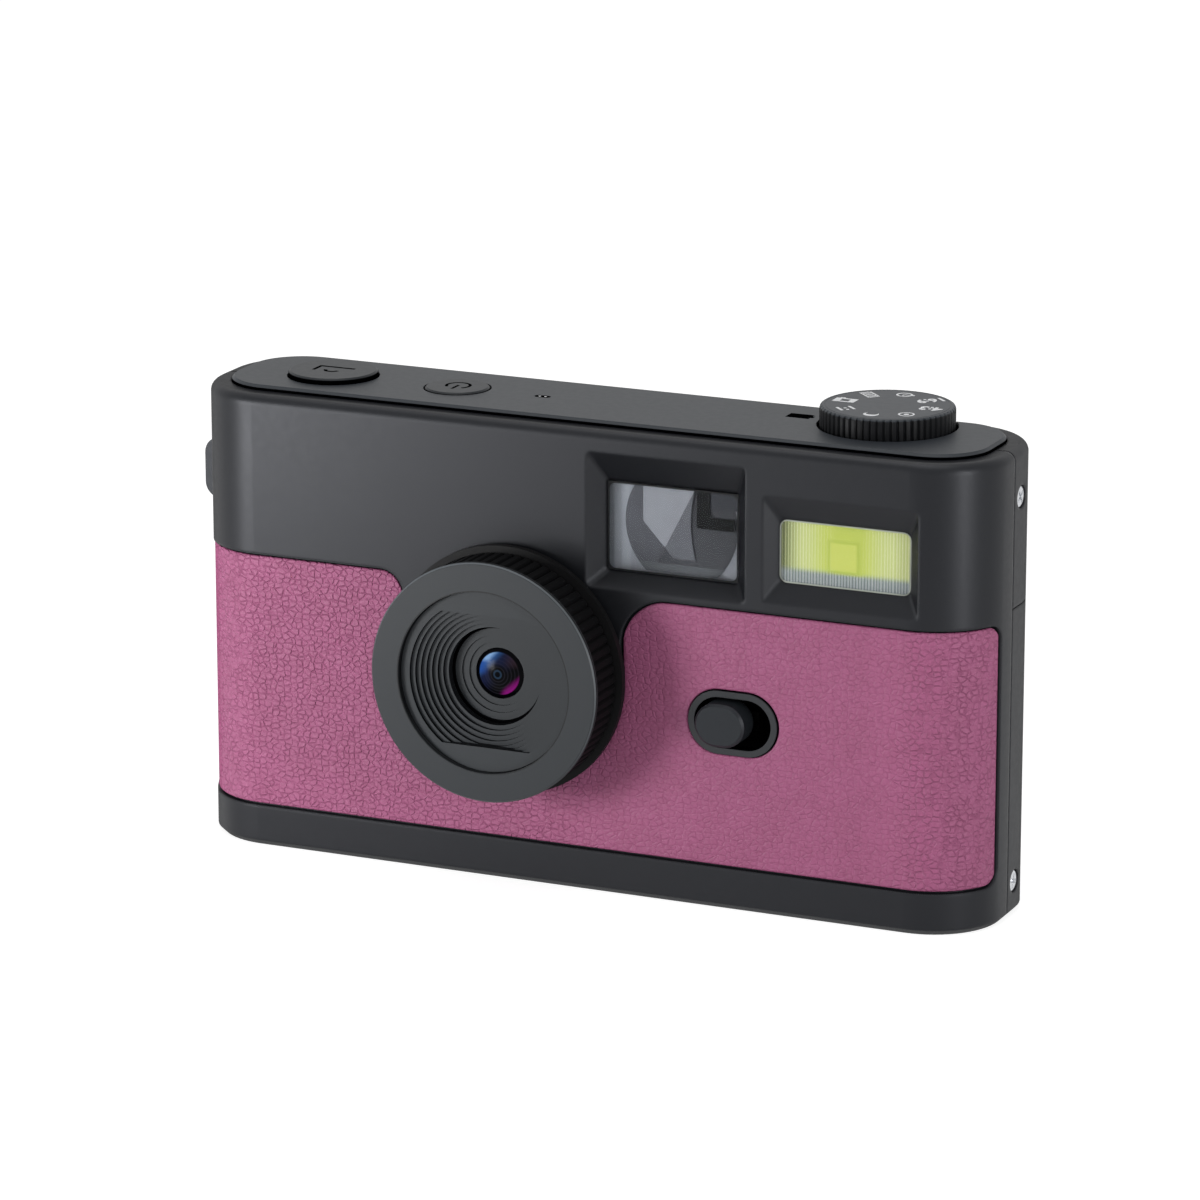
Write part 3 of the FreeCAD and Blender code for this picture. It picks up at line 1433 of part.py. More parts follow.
def eyepiece_window():
    """Rear window of the viewfinder."""
    left, right, low, high = eyepiece_edges(size.tunnel_wall)
    y_range = (inner_back - size.glass_thickness, inner_back)
    return box("eyepiece_window", (left, right), y_range, (low, high))


def lamp_edges(grow):
    """The flash lens's edges, grown by a margin: left, right, low, high."""
    level = lamp_low + lamp_tall / 2
    return around(flash_x, level, lamp_wide / 2 + grow, lamp_tall / 2 + grow)


def flash_lens():
    """Clear flash lens with upright ribs on its back."""
    part = new_body("flash_lens")
    lens_face = front + size.flash_sink
    drawing = sketch(part, "front", lens_face)
    rounded(drawing, *lamp_edges(-size.fit_gap), size.window_corner)
    pad(part, drawing, size.wall - size.flash_sink + size.glass_thickness, against=True)
    drawing = sketch(part, "front", inner_front + size.fit_gap)
    rectangle(drawing, *lamp_edges(size.glass_margin))
    pad(part, drawing, size.glass_thickness, against=True)
    ribs = sketch(part, "front", lamp_back)
    count = int(float(lamp_wide) / float(size.flash_rib)) - 1
    for number in range(count):
        x = flash_x + size.flash_rib * (number - (count - 1) / 2)
        half = size.flash_rib / 4
        rectangle(ribs, x - half, x + half, lamp_low + size.running_gap,
                  lamp_low + lamp_tall - size.running_gap)
    pad(part, ribs, size.flash_rib_depth, against=True)
    return part


def flash_reflector():
    """Reflector cup behind the flash lens, with sloped walls down to the emitter."""
    floor = lamp_back + size.reflector_depth - size.glass_thickness
    end = lamp_back + size.reflector_depth
    half = size.led_size / 2 + size.running_gap
    well = around(flash_x, lamp_low + lamp_tall / 2, half, half)
    left, right, low, high = lamp_edges(size.glass_margin)
    block = box("reflector_block", (left, right), (lamp_back, end), (low, high))
    cup = wedge("reflector_cup", (lamp_edges(size.running_gap), well), (lamp_back, floor))
    hole = box("reflector_hole", well[:2], (floor, end + MARGIN), well[2:])
    return without("flash_reflector", block, [cup, hole])


def flash_led():
    """Square emitter on the flash board."""
    half = size.led_size / 2
    middle = lamp_low + lamp_tall / 2
    end = lamp_back + size.reflector_depth
    return box("flash_led", (flash_x - half, flash_x + half),
               (end - size.glass_thickness, end), (middle - half, middle + half))


def flash_board():
    """Board behind the flash reflector."""
    start = lamp_back + size.reflector_depth
    half = lamp_wide / 2 + size.glass_margin
    margin = size.glass_margin
    return box("flash_board", (flash_x - half, flash_x + half),
               (start, start + size.board_thickness),
               (lamp_low - margin, lamp_low + lamp_tall + margin))


def switch_bezel():
    """Slot-shaped cup round the slide switch, with a slot in its floor for the slider."""
    part = new_body("switch_bezel")
    spot = (switch_x, size.switch_level)
    face = front
    drawing = sketch(part, "front", face, at=spot)
    stadium(drawing, size.bezel_length, size.bezel_width)
    pad(part, drawing, size.wall + size.bezel_floor, against=True)
    drawing = sketch(part, "front", face, at=spot)
    stadium(drawing, size.bezel_length - size.bezel_rim * 2, size.bezel_width - size.bezel_rim * 2)
    pocket(part, drawing, size.wall)
    drawing = sketch(part, "front", inner_front, at=spot)
    length = size.slider_length + size.knob_travel + size.running_gap * 2
    half = length / 2
    low = size.slider_width / 2 + size.running_gap
    rectangle(drawing, -half, half, -low, low)
    pocket(part, drawing, size.bezel_floor + MARGIN)
    return part


def switch_knob():
    """Knob at the left end of its travel, with the slider that works the switch."""
    part = new_body("switch_knob")
    rest = switch_x - size.knob_travel / 2
    spot = (rest, size.switch_level)
    face = front - size.knob_reach
    drawing = sketch(part, "front", face, at=spot)
    stadium(drawing, size.knob_length, size.knob_width)
    head = pad(part, drawing, size.knob_reach + size.wall - size.running_gap, against=True)
    round_edges(part, head, size.knob_edge, flat_at_y(face), bevel=True)
    drawing = sketch(part, "front", inner_front - size.running_gap, at=spot)
    half = size.slider_length / 2
    low = size.slider_width / 2
    rectangle(drawing, -half, half, -low, low)
    length = size.running_gap + size.bezel_floor + size.slider_width
    pad(part, drawing, length, against=True)
    return part


def slide_switch():
    """Slide switch behind the bezel, with the channel of its slider."""
    part = new_body("slide_switch")
    start = inner_front + size.bezel_floor
    spot = (switch_x, size.switch_level)
    half = size.bezel_length / 2
    tall = size.bezel_width / 2
    drawing = sketch(part, "front", start, at=spot)
    rectangle(drawing, -half, half, -tall, tall)
    pad(part, drawing, size.slider_width * 2, against=True)
    drawing = sketch(part, "front", start, at=spot)
    reach = (size.slider_length + size.knob_travel) / 2 + size.running_gap
    low = size.slider_width / 2 + size.running_gap
    rectangle(drawing, -reach, reach, -low, low)
    pocket(part, drawing, size.slider_width + size.running_gap)
    return part


def strap_bar():
    """Bridge for the strap, its feet held in the parting."""
    part = new_body("strap_bar")
    drawing = sketch(part, "front", parting + size.strap_width / 2)
    outer = -half_width - size.strap_reach
    inner = outer + size.strap_thickness
    foot = -half_width + size.strap_pocket
    round_out = size.strap_reach
    round_in = size.strap_reach - size.strap_thickness
    low = size.strap_low
    high = size.strap_high
    step = size.strap_thickness
    path(drawing, [
        (foot, low),
        (foot, low + step),
        (inner + round_in, low + step, inner + round_in, low + step + round_in, -1),
        (inner, low + step + round_in),
        (inner, high - step - round_in, inner + round_in, high - step - round_in, -1),
        (inner + round_in, high - step),
        (foot, high - step),
        (foot, high),
        (outer + round_out, high, outer + round_out, high - round_out, 1),
        (outer, high - round_out),
        (outer, low + round_out, outer + round_out, low + round_out, 1),
        (outer + round_out, low),
    ])
    pad(part, drawing, size.strap_width)
    return part


def side_screws():
    """Four sunk screws, two at each end."""
    screws = []
    for number, level in enumerate((size.lower_screw, size.upper_screw)):
        for side_name, side in (("left", -1), ("right", 1)):
            part = new_body(f"side_screw_{side_name}_{number}")
            drawing = sketch(part, "front", screw_y, at=(0.0, level))
            outer = (half_width - size.fit_gap) * side
            neck = (half_width - size.screw_sink) * side
            path(drawing, [(outer, 0.0), (outer, size.screw_head), (neck, size.screw_head),
                           (neck, 0.0)])
            turn(part, drawing, axis="H_Axis")
            drawing = sketch(part, "side", neck, at=(screw_y, level))
            polygon(drawing, 0.0, 0.0, size.screw_radius * SHANK_SHARE, HIDDEN_SIDES)
            pad(part, drawing, size.screw_length - size.screw_sink - size.fit_gap, side == 1)
            screws.append(part)
    return group("side_screws", screws)


def board_screws():
    """Four screws of the main board."""
    screws = []
    radius = size.screw_radius
    for number, level in enumerate(board_post_levels()):
        for side_name, x in (("left", -board_post_x), ("right", board_post_x)):
            part = new_body(f"board_screw_{side_name}_{number}")
            drawing = sketch(part, "front", board_back, at=(x, level))
            polygon(drawing, 0.0, 0.0, radius * 2, HIDDEN_SIDES)
            pad(part, drawing, radius, against=True)
            drawing = sketch(part, "front", board_back, at=(x, level))
            polygon(drawing, 0.0, 0.0, radius * SHANK_SHARE, HIDDEN_SIDES)
            pad(part, drawing, size.main_thickness + size.post_depth - size.running_gap)
            screws.append(part)
    return group("board_screws", screws)


def main_board():
    """Upright main board with its screw holes."""
    part = new_body("main_board")
    drawing = sketch(part, "front", board_front)
    reach = half_width - size.board_side
    rectangle(drawing, -reach, reach, size.board_low, size.board_high)
    for level in board_post_levels():
        for x in both_sides(board_post_x):
            polygon(drawing, x, level, size.screw_radius, HIDDEN_SIDES)
    pad(part, drawing, size.main_thickness, against=True)
    return part


def image_processor():
    """Main chip on the back of the main board."""
    half = size.processor_side / 2
    middle = (size.board_low + size.board_high) / 2
    return box("image_processor", (lens_x - half, lens_x + half),
               (board_back, board_back + size.processor_tall), (middle - half, middle + half))


def battery():
    """Flat cell between the housing's corner and the sensor holder."""
    part = new_body("battery")
    left = -half_width + size.corner_radius + size.battery_gap
    right = lens_x - size.holder_width / 2 - size.battery_gap
    low = size.battery_low
    drawing = sketch(part, "front", inner_front)
    rectangle(drawing, left, right, low, low + size.battery_tall)
    pad(part, drawing, size.battery_thickness, against=True)
    return part


def speaker():
    """Small speaker over the sound holes."""
    part = new_body("speaker")
    half = size.speaker_length / 2
    deep = size.speaker_width / 2
    drawing = sketch(part, "top", size.wall, at=(speaker_x, speaker_y()))
    rectangle(drawing, -half, half, -deep, deep)
    pad(part, drawing, size.speaker_tall)
    return part


def usb_port():
    """Charging port: a thin shell with its tongue."""
    part = new_body("usb_port")
    mouth = -half_width + size.usb_sink
    spot = (usb_y(), size.usb_level)
    shell = size.usb_shell
    drawing = sketch(part, "side", mouth, at=spot)
    upright_stadium(drawing, size.usb_width, size.usb_thick)
    pad(part, drawing, size.usb_depth)
    drawing = sketch(part, "side", mouth, at=spot)
    upright_stadium(drawing, size.usb_width - shell * 2, size.usb_thick - shell * 2)
    pocket(part, drawing, size.usb_depth - shell * 2, along=True)
    drawing = sketch(part, "side", mouth + shell * 2, at=spot)
    half = size.usb_tongue / 2
    rectangle(drawing, -shell, shell, -half, half)
    pad(part, drawing, size.usb_depth - shell * 3)
    return part


def card_socket():
    """Memory card socket on the back of the main board."""
    part = new_body("card_socket")
    mouth = -half_width + size.wall + size.running_gap
    spot = (card_y(), size.card_level)
    drawing = sketch(part, "side", mouth, at=spot)
    half = size.card_width / 2
    thick = size.card_thick / 2
    rectangle(drawing, -thick, thick, -half, half)
    pad(part, drawing, size.card_depth)
    drawing = sketch(part, "side", mouth, at=spot)
    half = size.slot_width / 2
    thick = size.slot_thick / 2
    rectangle(drawing, -thick, thick, -half, half)
    pocket(part, drawing, size.card_depth - size.wall, along=True)
    return part


def tripod_bush():
    """Metal bush with the tripod thread's tap bore."""
    part = new_body("tripod_bush")
    spot = (lens_x, size.bush_y)
    drawing = sketch(part, "top", 0.0, at=spot)
    circle(drawing, 0.0, 0.0, size.bush_radius)
    pad(part, drawing, size.bush_tall)
    drawing = sketch(part, "top", 0.0, at=spot)
    circle(drawing, 0.0, 0.0, size.bush_bore)
    pocket(part, drawing, size.bush_depth, along=True)
    return part


def screen_window():
    """Window over the display."""
    part = new_body("screen_window")
    drawing = sketch(part, "front", back - size.fit_gap)
    screen_outline(drawing, size.fit_gap)
    pad(part, drawing, size.glass_thickness)
    return part


def display_panel():
    """Display behind the screen window."""
    part = new_body("display_panel")
    drawing = sketch(part, "front", inner_back)
    rectangle(drawing, *screen_edges(0.0))
    pad(part, drawing, size.panel_thickness)
    return part


def rear_key(label, across, up):
    """Rear key with clipped corners: cap, flange behind the wall, and stem into its switch."""
    part = new_body(label)
    spot = key_spot(across, up)
    half = key_radius(label)
    face = back + size.key_rise
    flange_back = inner_back - size.fit_gap
    flange_front = flange_back - size.flange_thickness
    switch_top = inner_back - size.key_board_drop + size.key_switch_tall
    stem_end = switch_top - size.key_stem_overlap + size.key_travel
    drawing = sketch(part, "front", face, at=spot)
    clipped(drawing, half, size.key_corner)
    cap = pad(part, drawing, face - flange_front)
    round_edges(part, cap, size.key_edge, flat_at_y(face), bevel=True)
    drawing = sketch(part, "front", flange_back, at=spot)
    grown = half + size.button_gap + size.key_flange
    clipped(drawing, grown, size.key_corner)
    pad(part, drawing, size.flange_thickness)
    drawing = sketch(part, "front", flange_front, at=spot)
    polygon(drawing, 0.0, 0.0, size.key_stem, HIDDEN_SIDES)
    pad(part, drawing, flange_front - stem_end)
    return part


def key_board():
    """Board behind the rear keys."""
    part = new_body("key_board")
    board = inner_back - size.key_board_drop
    reach = size.keys_spacing + size.key_switch_size / 2 + size.key_board_margin
    x = keys_x
    level = screen_level
    drawing = sketch(part, "front", board)
    rectangle(drawing, x - reach, x + reach, level - reach, level + reach)
    pad(part, drawing, size.board_thickness)
    return part


def key_switches():
    """Push switches under the rear keys."""
    board = inner_back - size.key_board_drop
    switches = []
    for name, across, up in REAR_KEYS:
        part = new_body(name + "_switch")
        half = size.key_switch_size / 2
        drawing = sketch(part, "front", board, at=key_spot(across, up))
        rectangle(drawing, -half, half, -half, half)
        pad(part, drawing, size.key_switch_tall, against=True)
        top = board + size.key_switch_tall
        drawing = sketch(part, "front", top, at=key_spot(across, up))
        polygon(drawing, 0.0, 0.0, size.key_stem + size.turning_gap, HIDDEN_SIDES)
        pocket(part, drawing, size.key_bore, along=True)
        switches.append(part)
    return group("key_switches", switches)


nodes = [
    front_shell(),
    rear_cover_lower(),
    rear_cover_upper(),
    leather_wrap(),
    top_plate(),
    status_light(),
    push_button("shutter_button", shutter_x, size.shutter_radius, size.shutter_rise,
                size.shutter_travel),
    push_button("power_button", power_x, size.power_radius, size.power_rise,
                size.power_travel),
    push_switch("shutter_switch", shutter_x),
    push_switch("power_switch", power_x),
    button_board(),
    microphone(),
    mode_dial(),
    dial_shaft(),
    dial_encoder(),
    dial_board(),
    lens_housing(),
    focus_ring(),
    lens_baffle(),
    lens_cell(),
    lens_glass(),
    sensor_holder(),
    sensor_board(),
    image_sensor(),
    viewfinder_window(),
    viewfinder_tunnel(),
    eyepiece_window(),
    flash_lens(),
    flash_reflector(),
    flash_led(),
    flash_board(),
    switch_bezel(),
    switch_knob(),
    slide_switch(),
    strap_bar(),
    side_screws(),
    board_screws(),
    main_board(),
    image_processor(),
    battery(),
    speaker(),
    usb_port(),
    card_socket(),
    tripod_bush(),
    screen_window(),
    display_panel(),
    key_board(),
    key_switches(),
]
nodes += [rear_key(name, across, up) for name, across, up in REAR_KEYS]

doc.recompute()
for item in doc.Objects:
    if "Invalid" in item.State or "Error" in item.State:
        raise RuntimeError(f"{item.Label} failed: {item.State}")
for node in nodes:
    shape = node.Shape
    if shape.isNull() or not shape.isValid() or shape.Volume <= 0:
        raise RuntimeError(f"{node.Label} has no valid solid")

os.makedirs("parts", exist_ok=True)
for node in nodes:
    node.Shape.exportStep(f"parts/{node.Label}.step")
    print(f"{node.Label}: {len(node.Shape.Solids)} solid, {node.Shape.Volume:.1f} mm3")
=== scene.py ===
import math
import bmesh
import bpy
import numpy as np
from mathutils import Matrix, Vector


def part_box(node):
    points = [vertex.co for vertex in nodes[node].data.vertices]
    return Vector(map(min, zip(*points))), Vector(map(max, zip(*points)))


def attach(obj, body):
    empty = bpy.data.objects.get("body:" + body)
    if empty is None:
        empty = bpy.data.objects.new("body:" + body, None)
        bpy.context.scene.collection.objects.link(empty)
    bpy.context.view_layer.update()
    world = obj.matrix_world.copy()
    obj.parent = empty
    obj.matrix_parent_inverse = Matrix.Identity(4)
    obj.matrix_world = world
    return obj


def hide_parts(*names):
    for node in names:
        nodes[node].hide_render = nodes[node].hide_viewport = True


# Looks of a small camera, in metres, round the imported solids. Sizes below are in millimetres
# and are turned into metres where a mesh is written.

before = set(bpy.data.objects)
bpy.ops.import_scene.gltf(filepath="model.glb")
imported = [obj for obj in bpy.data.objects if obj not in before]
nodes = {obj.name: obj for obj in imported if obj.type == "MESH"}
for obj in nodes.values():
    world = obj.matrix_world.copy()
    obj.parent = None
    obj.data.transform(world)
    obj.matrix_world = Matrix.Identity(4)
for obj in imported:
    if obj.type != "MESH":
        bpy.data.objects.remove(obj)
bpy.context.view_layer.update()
MM = 0.001
AROUND = 96


def span(node):
    """Lowest and highest corner of a solid in millimetres."""
    low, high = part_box(node)
    return np.array(low) / MM, np.array(high) / MM


def middle(node):
    """Middle of a solid in millimetres."""
    low, high = span(node)
    return (low + high) / 2


# ------------------------ meshes

def join(*numbers):
    """Points or faces from rows of numbers, where a single number serves for a whole row."""
    return np.stack(np.broadcast_arrays(*numbers), -1)


def quads(rows, columns, across=False):
    """Faces of a grid of points, row by row. With across, the last column joins the first."""
    r = np.arange(rows - 1)[:, None]
    c = np.arange(columns if across else columns - 1)[None, :]
    n = (c + 1) % columns
    faces = join(r * columns + c, r * columns + n, (r + 1) * columns + n, (r + 1) * columns + c)
    return faces.reshape(-1, 4)


def piece(name, parts, body, material, replaces=(), smooth=30.0):
    """One object from several (points, faces) pairs in millimetres, closed and facing outwards."""
    work = bmesh.new()
    for points, faces in parts:
        mesh = bpy.data.meshes.new(name)
        mesh.from_pydata((np.asarray(points, float).reshape(-1, 3) * MM).tolist(), [],
                         [list(map(int, f)) for f in faces])
        work.from_mesh(mesh)
        bpy.data.meshes.remove(mesh)
    bmesh.ops.remove_doubles(work, verts=work.verts, dist=2e-7)
    bmesh.ops.dissolve_degenerate(work, dist=1e-7, edges=work.edges)
    bmesh.ops.recalc_face_normals(work, faces=work.faces)
    mesh = bpy.data.meshes.new(name)
    work.to_mesh(mesh)
    work.free()
    mesh.polygons.foreach_set("use_smooth", np.ones(len(mesh.polygons), bool))
    mesh.set_sharp_from_angle(angle=math.radians(smooth))
    obj = bpy.data.objects.new(name, mesh)
    bpy.context.scene.collection.objects.link(obj)
    mesh.materials.append(material)
    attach(obj, body)
    if replaces:
        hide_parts(*replaces)
    return obj


def stack(rings):
    """A closed solid from rings of points, each end closed by a fan to its middle."""
    rings = np.asarray(rings, float)
    count, around = rings.shape[:2]
    points = np.vstack([rings.reshape(-1, 3), rings[0].mean(0), rings[-1].mean(0)])
    faces = [list(f) for f in quads(count, around, across=True)]
    here = np.arange(around)
    after = (here + 1) % around
    first, last = count * around, count * around + 1
    base = (count - 1) * around
    faces += join(after, here, first).tolist()
    faces += join(base + here, base + after, last).tolist()
    return points, faces


def rounded(width, tall, radius, inset=0.0, steps=8):
    """A rectangle's outline with round corners: each corner is a quarter circle about its centre,
    and inset moves the whole outline inwards."""
    half_w, half_t = width / 2 - radius, tall / 2 - radius
    r = max(radius - inset, 0.001)
    shift = max(inset - radius, 0.0)
    turn = np.linspace(0.0, math.pi / 2, steps)
    corners = []
    for sx, sz, start in ((1, 1, 0.0), (-1, 1, 0.5), (-1, -1, 1.0), (1, -1, 1.5)):
        angle = turn + start * math.pi
        corners.append(join(sx * (half_w - shift) + r * np.cos(angle),
                            sz * (half_t - shift) + r * np.sin(angle)))
    return np.vstack(corners)


def turns(count):
    """Angles of count points spread evenly over a full turn."""
    return np.arange(count) * 2 * math.pi / count


def circle(radius, count):
    """A circle's points, counter-clockwise."""
    angle = turns(count)
    return join(radius * np.cos(angle), radius * np.sin(angle))


def on_front(flat, y):
    """Flat points (across, up) placed at depth y, seen from the front."""
    return join(flat[:, 0], y, flat[:, 1])


def about(node):
    """Places flat points (across, up) at a depth, about the middle of a window."""
    x, _, z = middle(node)
    return lambda flat, y: on_front(flat + (x, z), y)


def on_top(flat, z):
    """Flat points (across, back) placed at height z, seen from above."""
    return join(flat[:, 0], flat[:, 1], z)


def slab(outline, place, low, high):
    """A flat plate with the outline's form between two levels."""
    return stack([place(outline, low), place(outline, high)])


def hoop(outer, inner, place, low, high):
    """A flat ring between two outlines: its section is a rectangle between two levels."""
    rings = [place(outer, low), place(inner, low), place(inner, high), place(outer, high),
             place(outer, low)]
    return np.vstack(rings), quads(len(rings), len(outer), across=True)


def bar(start, end, width):
    """The outline of a straight stroke with square ends, from start to end."""
    start, end = np.array(start, float), np.array(end, float)
    along = (end - start) / np.linalg.norm(end - start)
    side = np.array([-along[1], along[0]]) * width / 2
    return np.array([start - side, end - side, end + side, start + side])


def strip(outline, place, low, high):
    """A plate from a curved stroke's outline: its two arcs are joined point by point."""
    half = len(outline) // 2
    outer, inner = outline[:half], outline[half:][::-1]
    rings = [place(outer, low), place(outer, high), place(inner, high), place(inner, low)]
    faces = (quads(5, half) % (4 * half)).tolist()
    ends = np.arange(4) * half
    return np.vstack(rings), faces + [ends.tolist(), (ends[::-1] + half - 1).tolist()]


def lathe(profile, count):
    """Rings about the Y axis: each profile point (radius, y) becomes a circle at that depth."""
    angle = turns(count)
    radius, depth = np.transpose(profile)[:, :, None]
    return join(radius * np.cos(angle), depth, radius * np.sin(angle))


# ------------------------ shading

class Tree:
    """Short calls for building a node tree."""

    def __init__(self, tree):
        self.tree = tree

    def node(self, kind, **settings):
        made = self.tree.nodes.new(kind)
        for name, value in settings.items():
            setattr(made, name, value)
        return made

    def put(self, socket, value):
        if isinstance(value, bpy.types.NodeSocket):
            self.tree.links.new(value, socket)
        elif value is not None:
            socket.default_value = value

    def fill(self, made, **values):
        """Sets a node's inputs by name and gives its outputs."""
        for label, value in values.items():
            self.put(made.inputs[label.replace("_", " ")], value)
        return made.outputs

    def math(self, operation, first, second=None):
        made = self.node("ShaderNodeMath", operation=operation)
        self.put(made.inputs[0], first)
        self.put(made.inputs[1], second)
        return made.outputs[0]

    def times(self, first, second):
        return self.math("MULTIPLY", first, second)

    def plus(self, first, second):
        return self.math("ADD", first, second)

    def larger(self, first, second):
        return self.math("MAXIMUM", first, second)

    def vector(self, operation, first, second):
        made = self.node("ShaderNodeVectorMath", operation=operation)
        self.put(made.inputs[0], first)
        self.put(made.inputs["Scale" if operation == "SCALE" else 1], second)
        return made.outputs["Vector"]

    def step(self, value, low, high, to_low=0.0, to_high=1.0):
        """Smooth change from to_low to to_high as the value goes from low to high."""
        made = self.node("ShaderNodeMapRange", interpolation_type="SMOOTHSTEP")
        for socket, number in zip(made.inputs[:5], (value, low, high, to_low, to_high)):
            self.put(socket, number)
        return made.outputs[0]

    def fade(self, value, low, high):
        """A mask that is 1 up to low and 0 from high on."""
        return self.step(value, low, high, 1.0, 0.0)

    def band(self, value, start, full, fall, end):
        """A mask that rises from start to full and goes again from fall to end."""
        return self.times(self.step(value, start, full), self.fade(value, fall, end))

    def share(self, mask, at_none, at_full):
        """Goes from at_none to at_full as a mask goes from 0 to 1."""
        return self.step(mask, 0.0, 1.0, at_none, at_full)

    def size(self, value):
        return self.math("ABSOLUTE", value)

    def slant(self, low, high, facing, edge):
        """Goes from facing to edge as the surface turns away from the eye."""
        weight = self.node("ShaderNodeLayerWeight")
        return self.step(weight.outputs["Facing"], low, high, facing, edge)

    def lean(self, spot, across, up):
        """How far a spot lies in the direction (across, up)."""
        return self.plus(self.times(spot["X"], across), self.times(spot["Z"], up))

    def radius(self, spot):
        """Distance from the Y axis."""
        return self.math("SQRT", self.plus(self.times(spot["X"], spot["X"]),
                                           self.times(spot["Z"], spot["Z"])))

    def mix(self, amount, first, second, blend="MIX"):
        made = self.node("ShaderNodeMix", data_type="RGBA", blend_type=blend)
        self.put(made.inputs[0], amount)
        self.put(made.inputs[6], first)
        self.put(made.inputs[7], second)
        return made.outputs[2]

    def paint(self, colour, *layers):
        """Lays screen colours over a colour: each shows by its share where its mask is 1."""
        for mask, share, tone in layers:
            amount = mask if share == 1 else self.times(mask, share)
            colour = self.mix(amount, colour, srgb(*tone))
        return colour

    def noise(self, where, scale, detail, roughness=0.5):
        return self.fill(self.node("ShaderNodeTexNoise"), Vector=where, Scale=scale,
                         Detail=detail, Roughness=roughness)["Fac"]

    def place(self):
        """Object coordinates in millimetres."""
        made = self.node("ShaderNodeTexCoord")
        return self.vector("SCALE", made.outputs["Object"], 1.0 / MM)

    def parts(self, where):
        return self.fill(self.node("ShaderNodeSeparateXYZ"), Vector=where)

    def bump(self, height, distance, strength=1.0, normal=None):
        return self.fill(self.node("ShaderNodeBump"), Height=height, Distance=distance,
                         Strength=strength, Normal=normal)["Normal"]

    def soft_edge(self, radius):
        """Normals that round a sharp edge off by that many millimetres."""
        return self.fill(self.node("ShaderNodeBevel", samples=4), Radius=radius * MM)["Normal"]

    def effect(self, tree, where, scale):
        """Places a shared node group and gives its outputs."""
        return self.fill(self.node("ShaderNodeGroup", node_tree=tree), Place=where, Scale=scale)


def srgb(red, green, blue, share=1.0):
    """A colour given as on screen, 0 to 255, turned into linear light and dimmed to a share."""
    part = np.array([red, green, blue]) / 255.0
    part = np.where(part <= 0.04045, part / 12.92, ((part + 0.055) / 1.055) ** 2.4)
    return (*(part * share).tolist(), 1.0)


def group(name, scale, outputs, build):
    """A shared effect as a node group: from a place and a scale to the named values."""
    tree = bpy.data.node_groups.new(name, "ShaderNodeTree")
    socket = tree.interface.new_socket
    socket("Place", in_out="INPUT", socket_type="NodeSocketVector")
    socket("Scale", in_out="INPUT", socket_type="NodeSocketFloat").default_value = scale
    for label in outputs:
        socket(label, in_out="OUTPUT", socket_type="NodeSocketFloat")
    work = Tree(tree)
    build(work, work.node("NodeGroupInput").outputs, work.node("NodeGroupOutput").inputs)
    return tree


def build_grain(work, given, out):
    """Moulded grain: fine noise with a little coarser waviness under it."""
    fine = work.noise(given["Place"], given["Scale"], 2.0)
    broad = work.noise(given["Place"], work.math("DIVIDE", given["Scale"], 9.0), 2.0)
    work.put(out["Height"], work.plus(fine, work.times(broad, 0.12)))
    work.put(out["Shade"], work.step(broad, 0.3, 0.7))


def build_pebble(work, given, out):
    """Leather pebbles: warped cells whose thin creases come and go, and fine grain on top."""
    warp = work.fill(work.node("ShaderNodeTexNoise"), Vector=given["Place"], Scale=0.8,
                     Detail=1.0)["Color"]
    flat = work.vector("MULTIPLY", given["Place"], (0.9, 1.0, 1.15))
    moved = work.vector("ADD", flat, work.vector("SCALE", warp, 0.6))
    edges = []
    for scale in (1.15, 2.2):
        cells = work.node("ShaderNodeTexVoronoi", feature="DISTANCE_TO_EDGE")
        edges.append(work.fill(cells, Vector=moved, Scale=work.times(given["Scale"], scale),
                               Randomness=0.75)["Distance"])
    patchy = work.noise(given["Place"], 0.9, 3.0)
    large = work.times(work.fade(edges[0], 0.0, 0.2),
                       work.step(patchy, 0.34, 0.6, 0.15, 1.0))
    small = work.times(work.fade(edges[1], 0.0, 0.24),
                       work.step(patchy, 0.4, 0.62, 0.35, 0.05))
    crease = work.larger(large, small)
    pillow = work.times(work.step(edges[0], 0.0, 0.2), 0.55)
    fine = work.times(work.noise(given["Place"], 6.0, 3.0), 0.5)
    work.put(out["Height"], work.math("SUBTRACT", work.plus(pillow, fine),
                                      work.times(crease, 0.6)))
    work.put(out["Crease"], crease)
    work.put(out["Broad"], work.noise(given["Place"], 0.22, 2.0))


grain_group = group("moulded_grain", 12.0, ("Height", "Shade"), build_grain)
pebble_group = group("leather_pebble", 1.0, ("Height", "Crease", "Broad"), build_pebble)


def finish(name, build, **plain):
    """A material with one Principled shader: plain values on its sockets, the rest from build."""
    material = bpy.data.materials.new(name)
    material.use_nodes = True
    work = Tree(material.node_tree)
    shader = material.node_tree.nodes["Principled BSDF"]
    work.fill(shader, **plain)
    work.fill(shader, **build(work))
    return material


def uneven(work, grain, rough, spread, depth, soft):
    """Roughness that wavers with the grain, and its bump over softened edges."""
    return {"Roughness": work.share(grain["Shade"], rough - spread, rough + spread),
            "Normal": work.bump(grain["Height"], depth * MM,
                                normal=work.soft_edge(soft) if soft else None)}


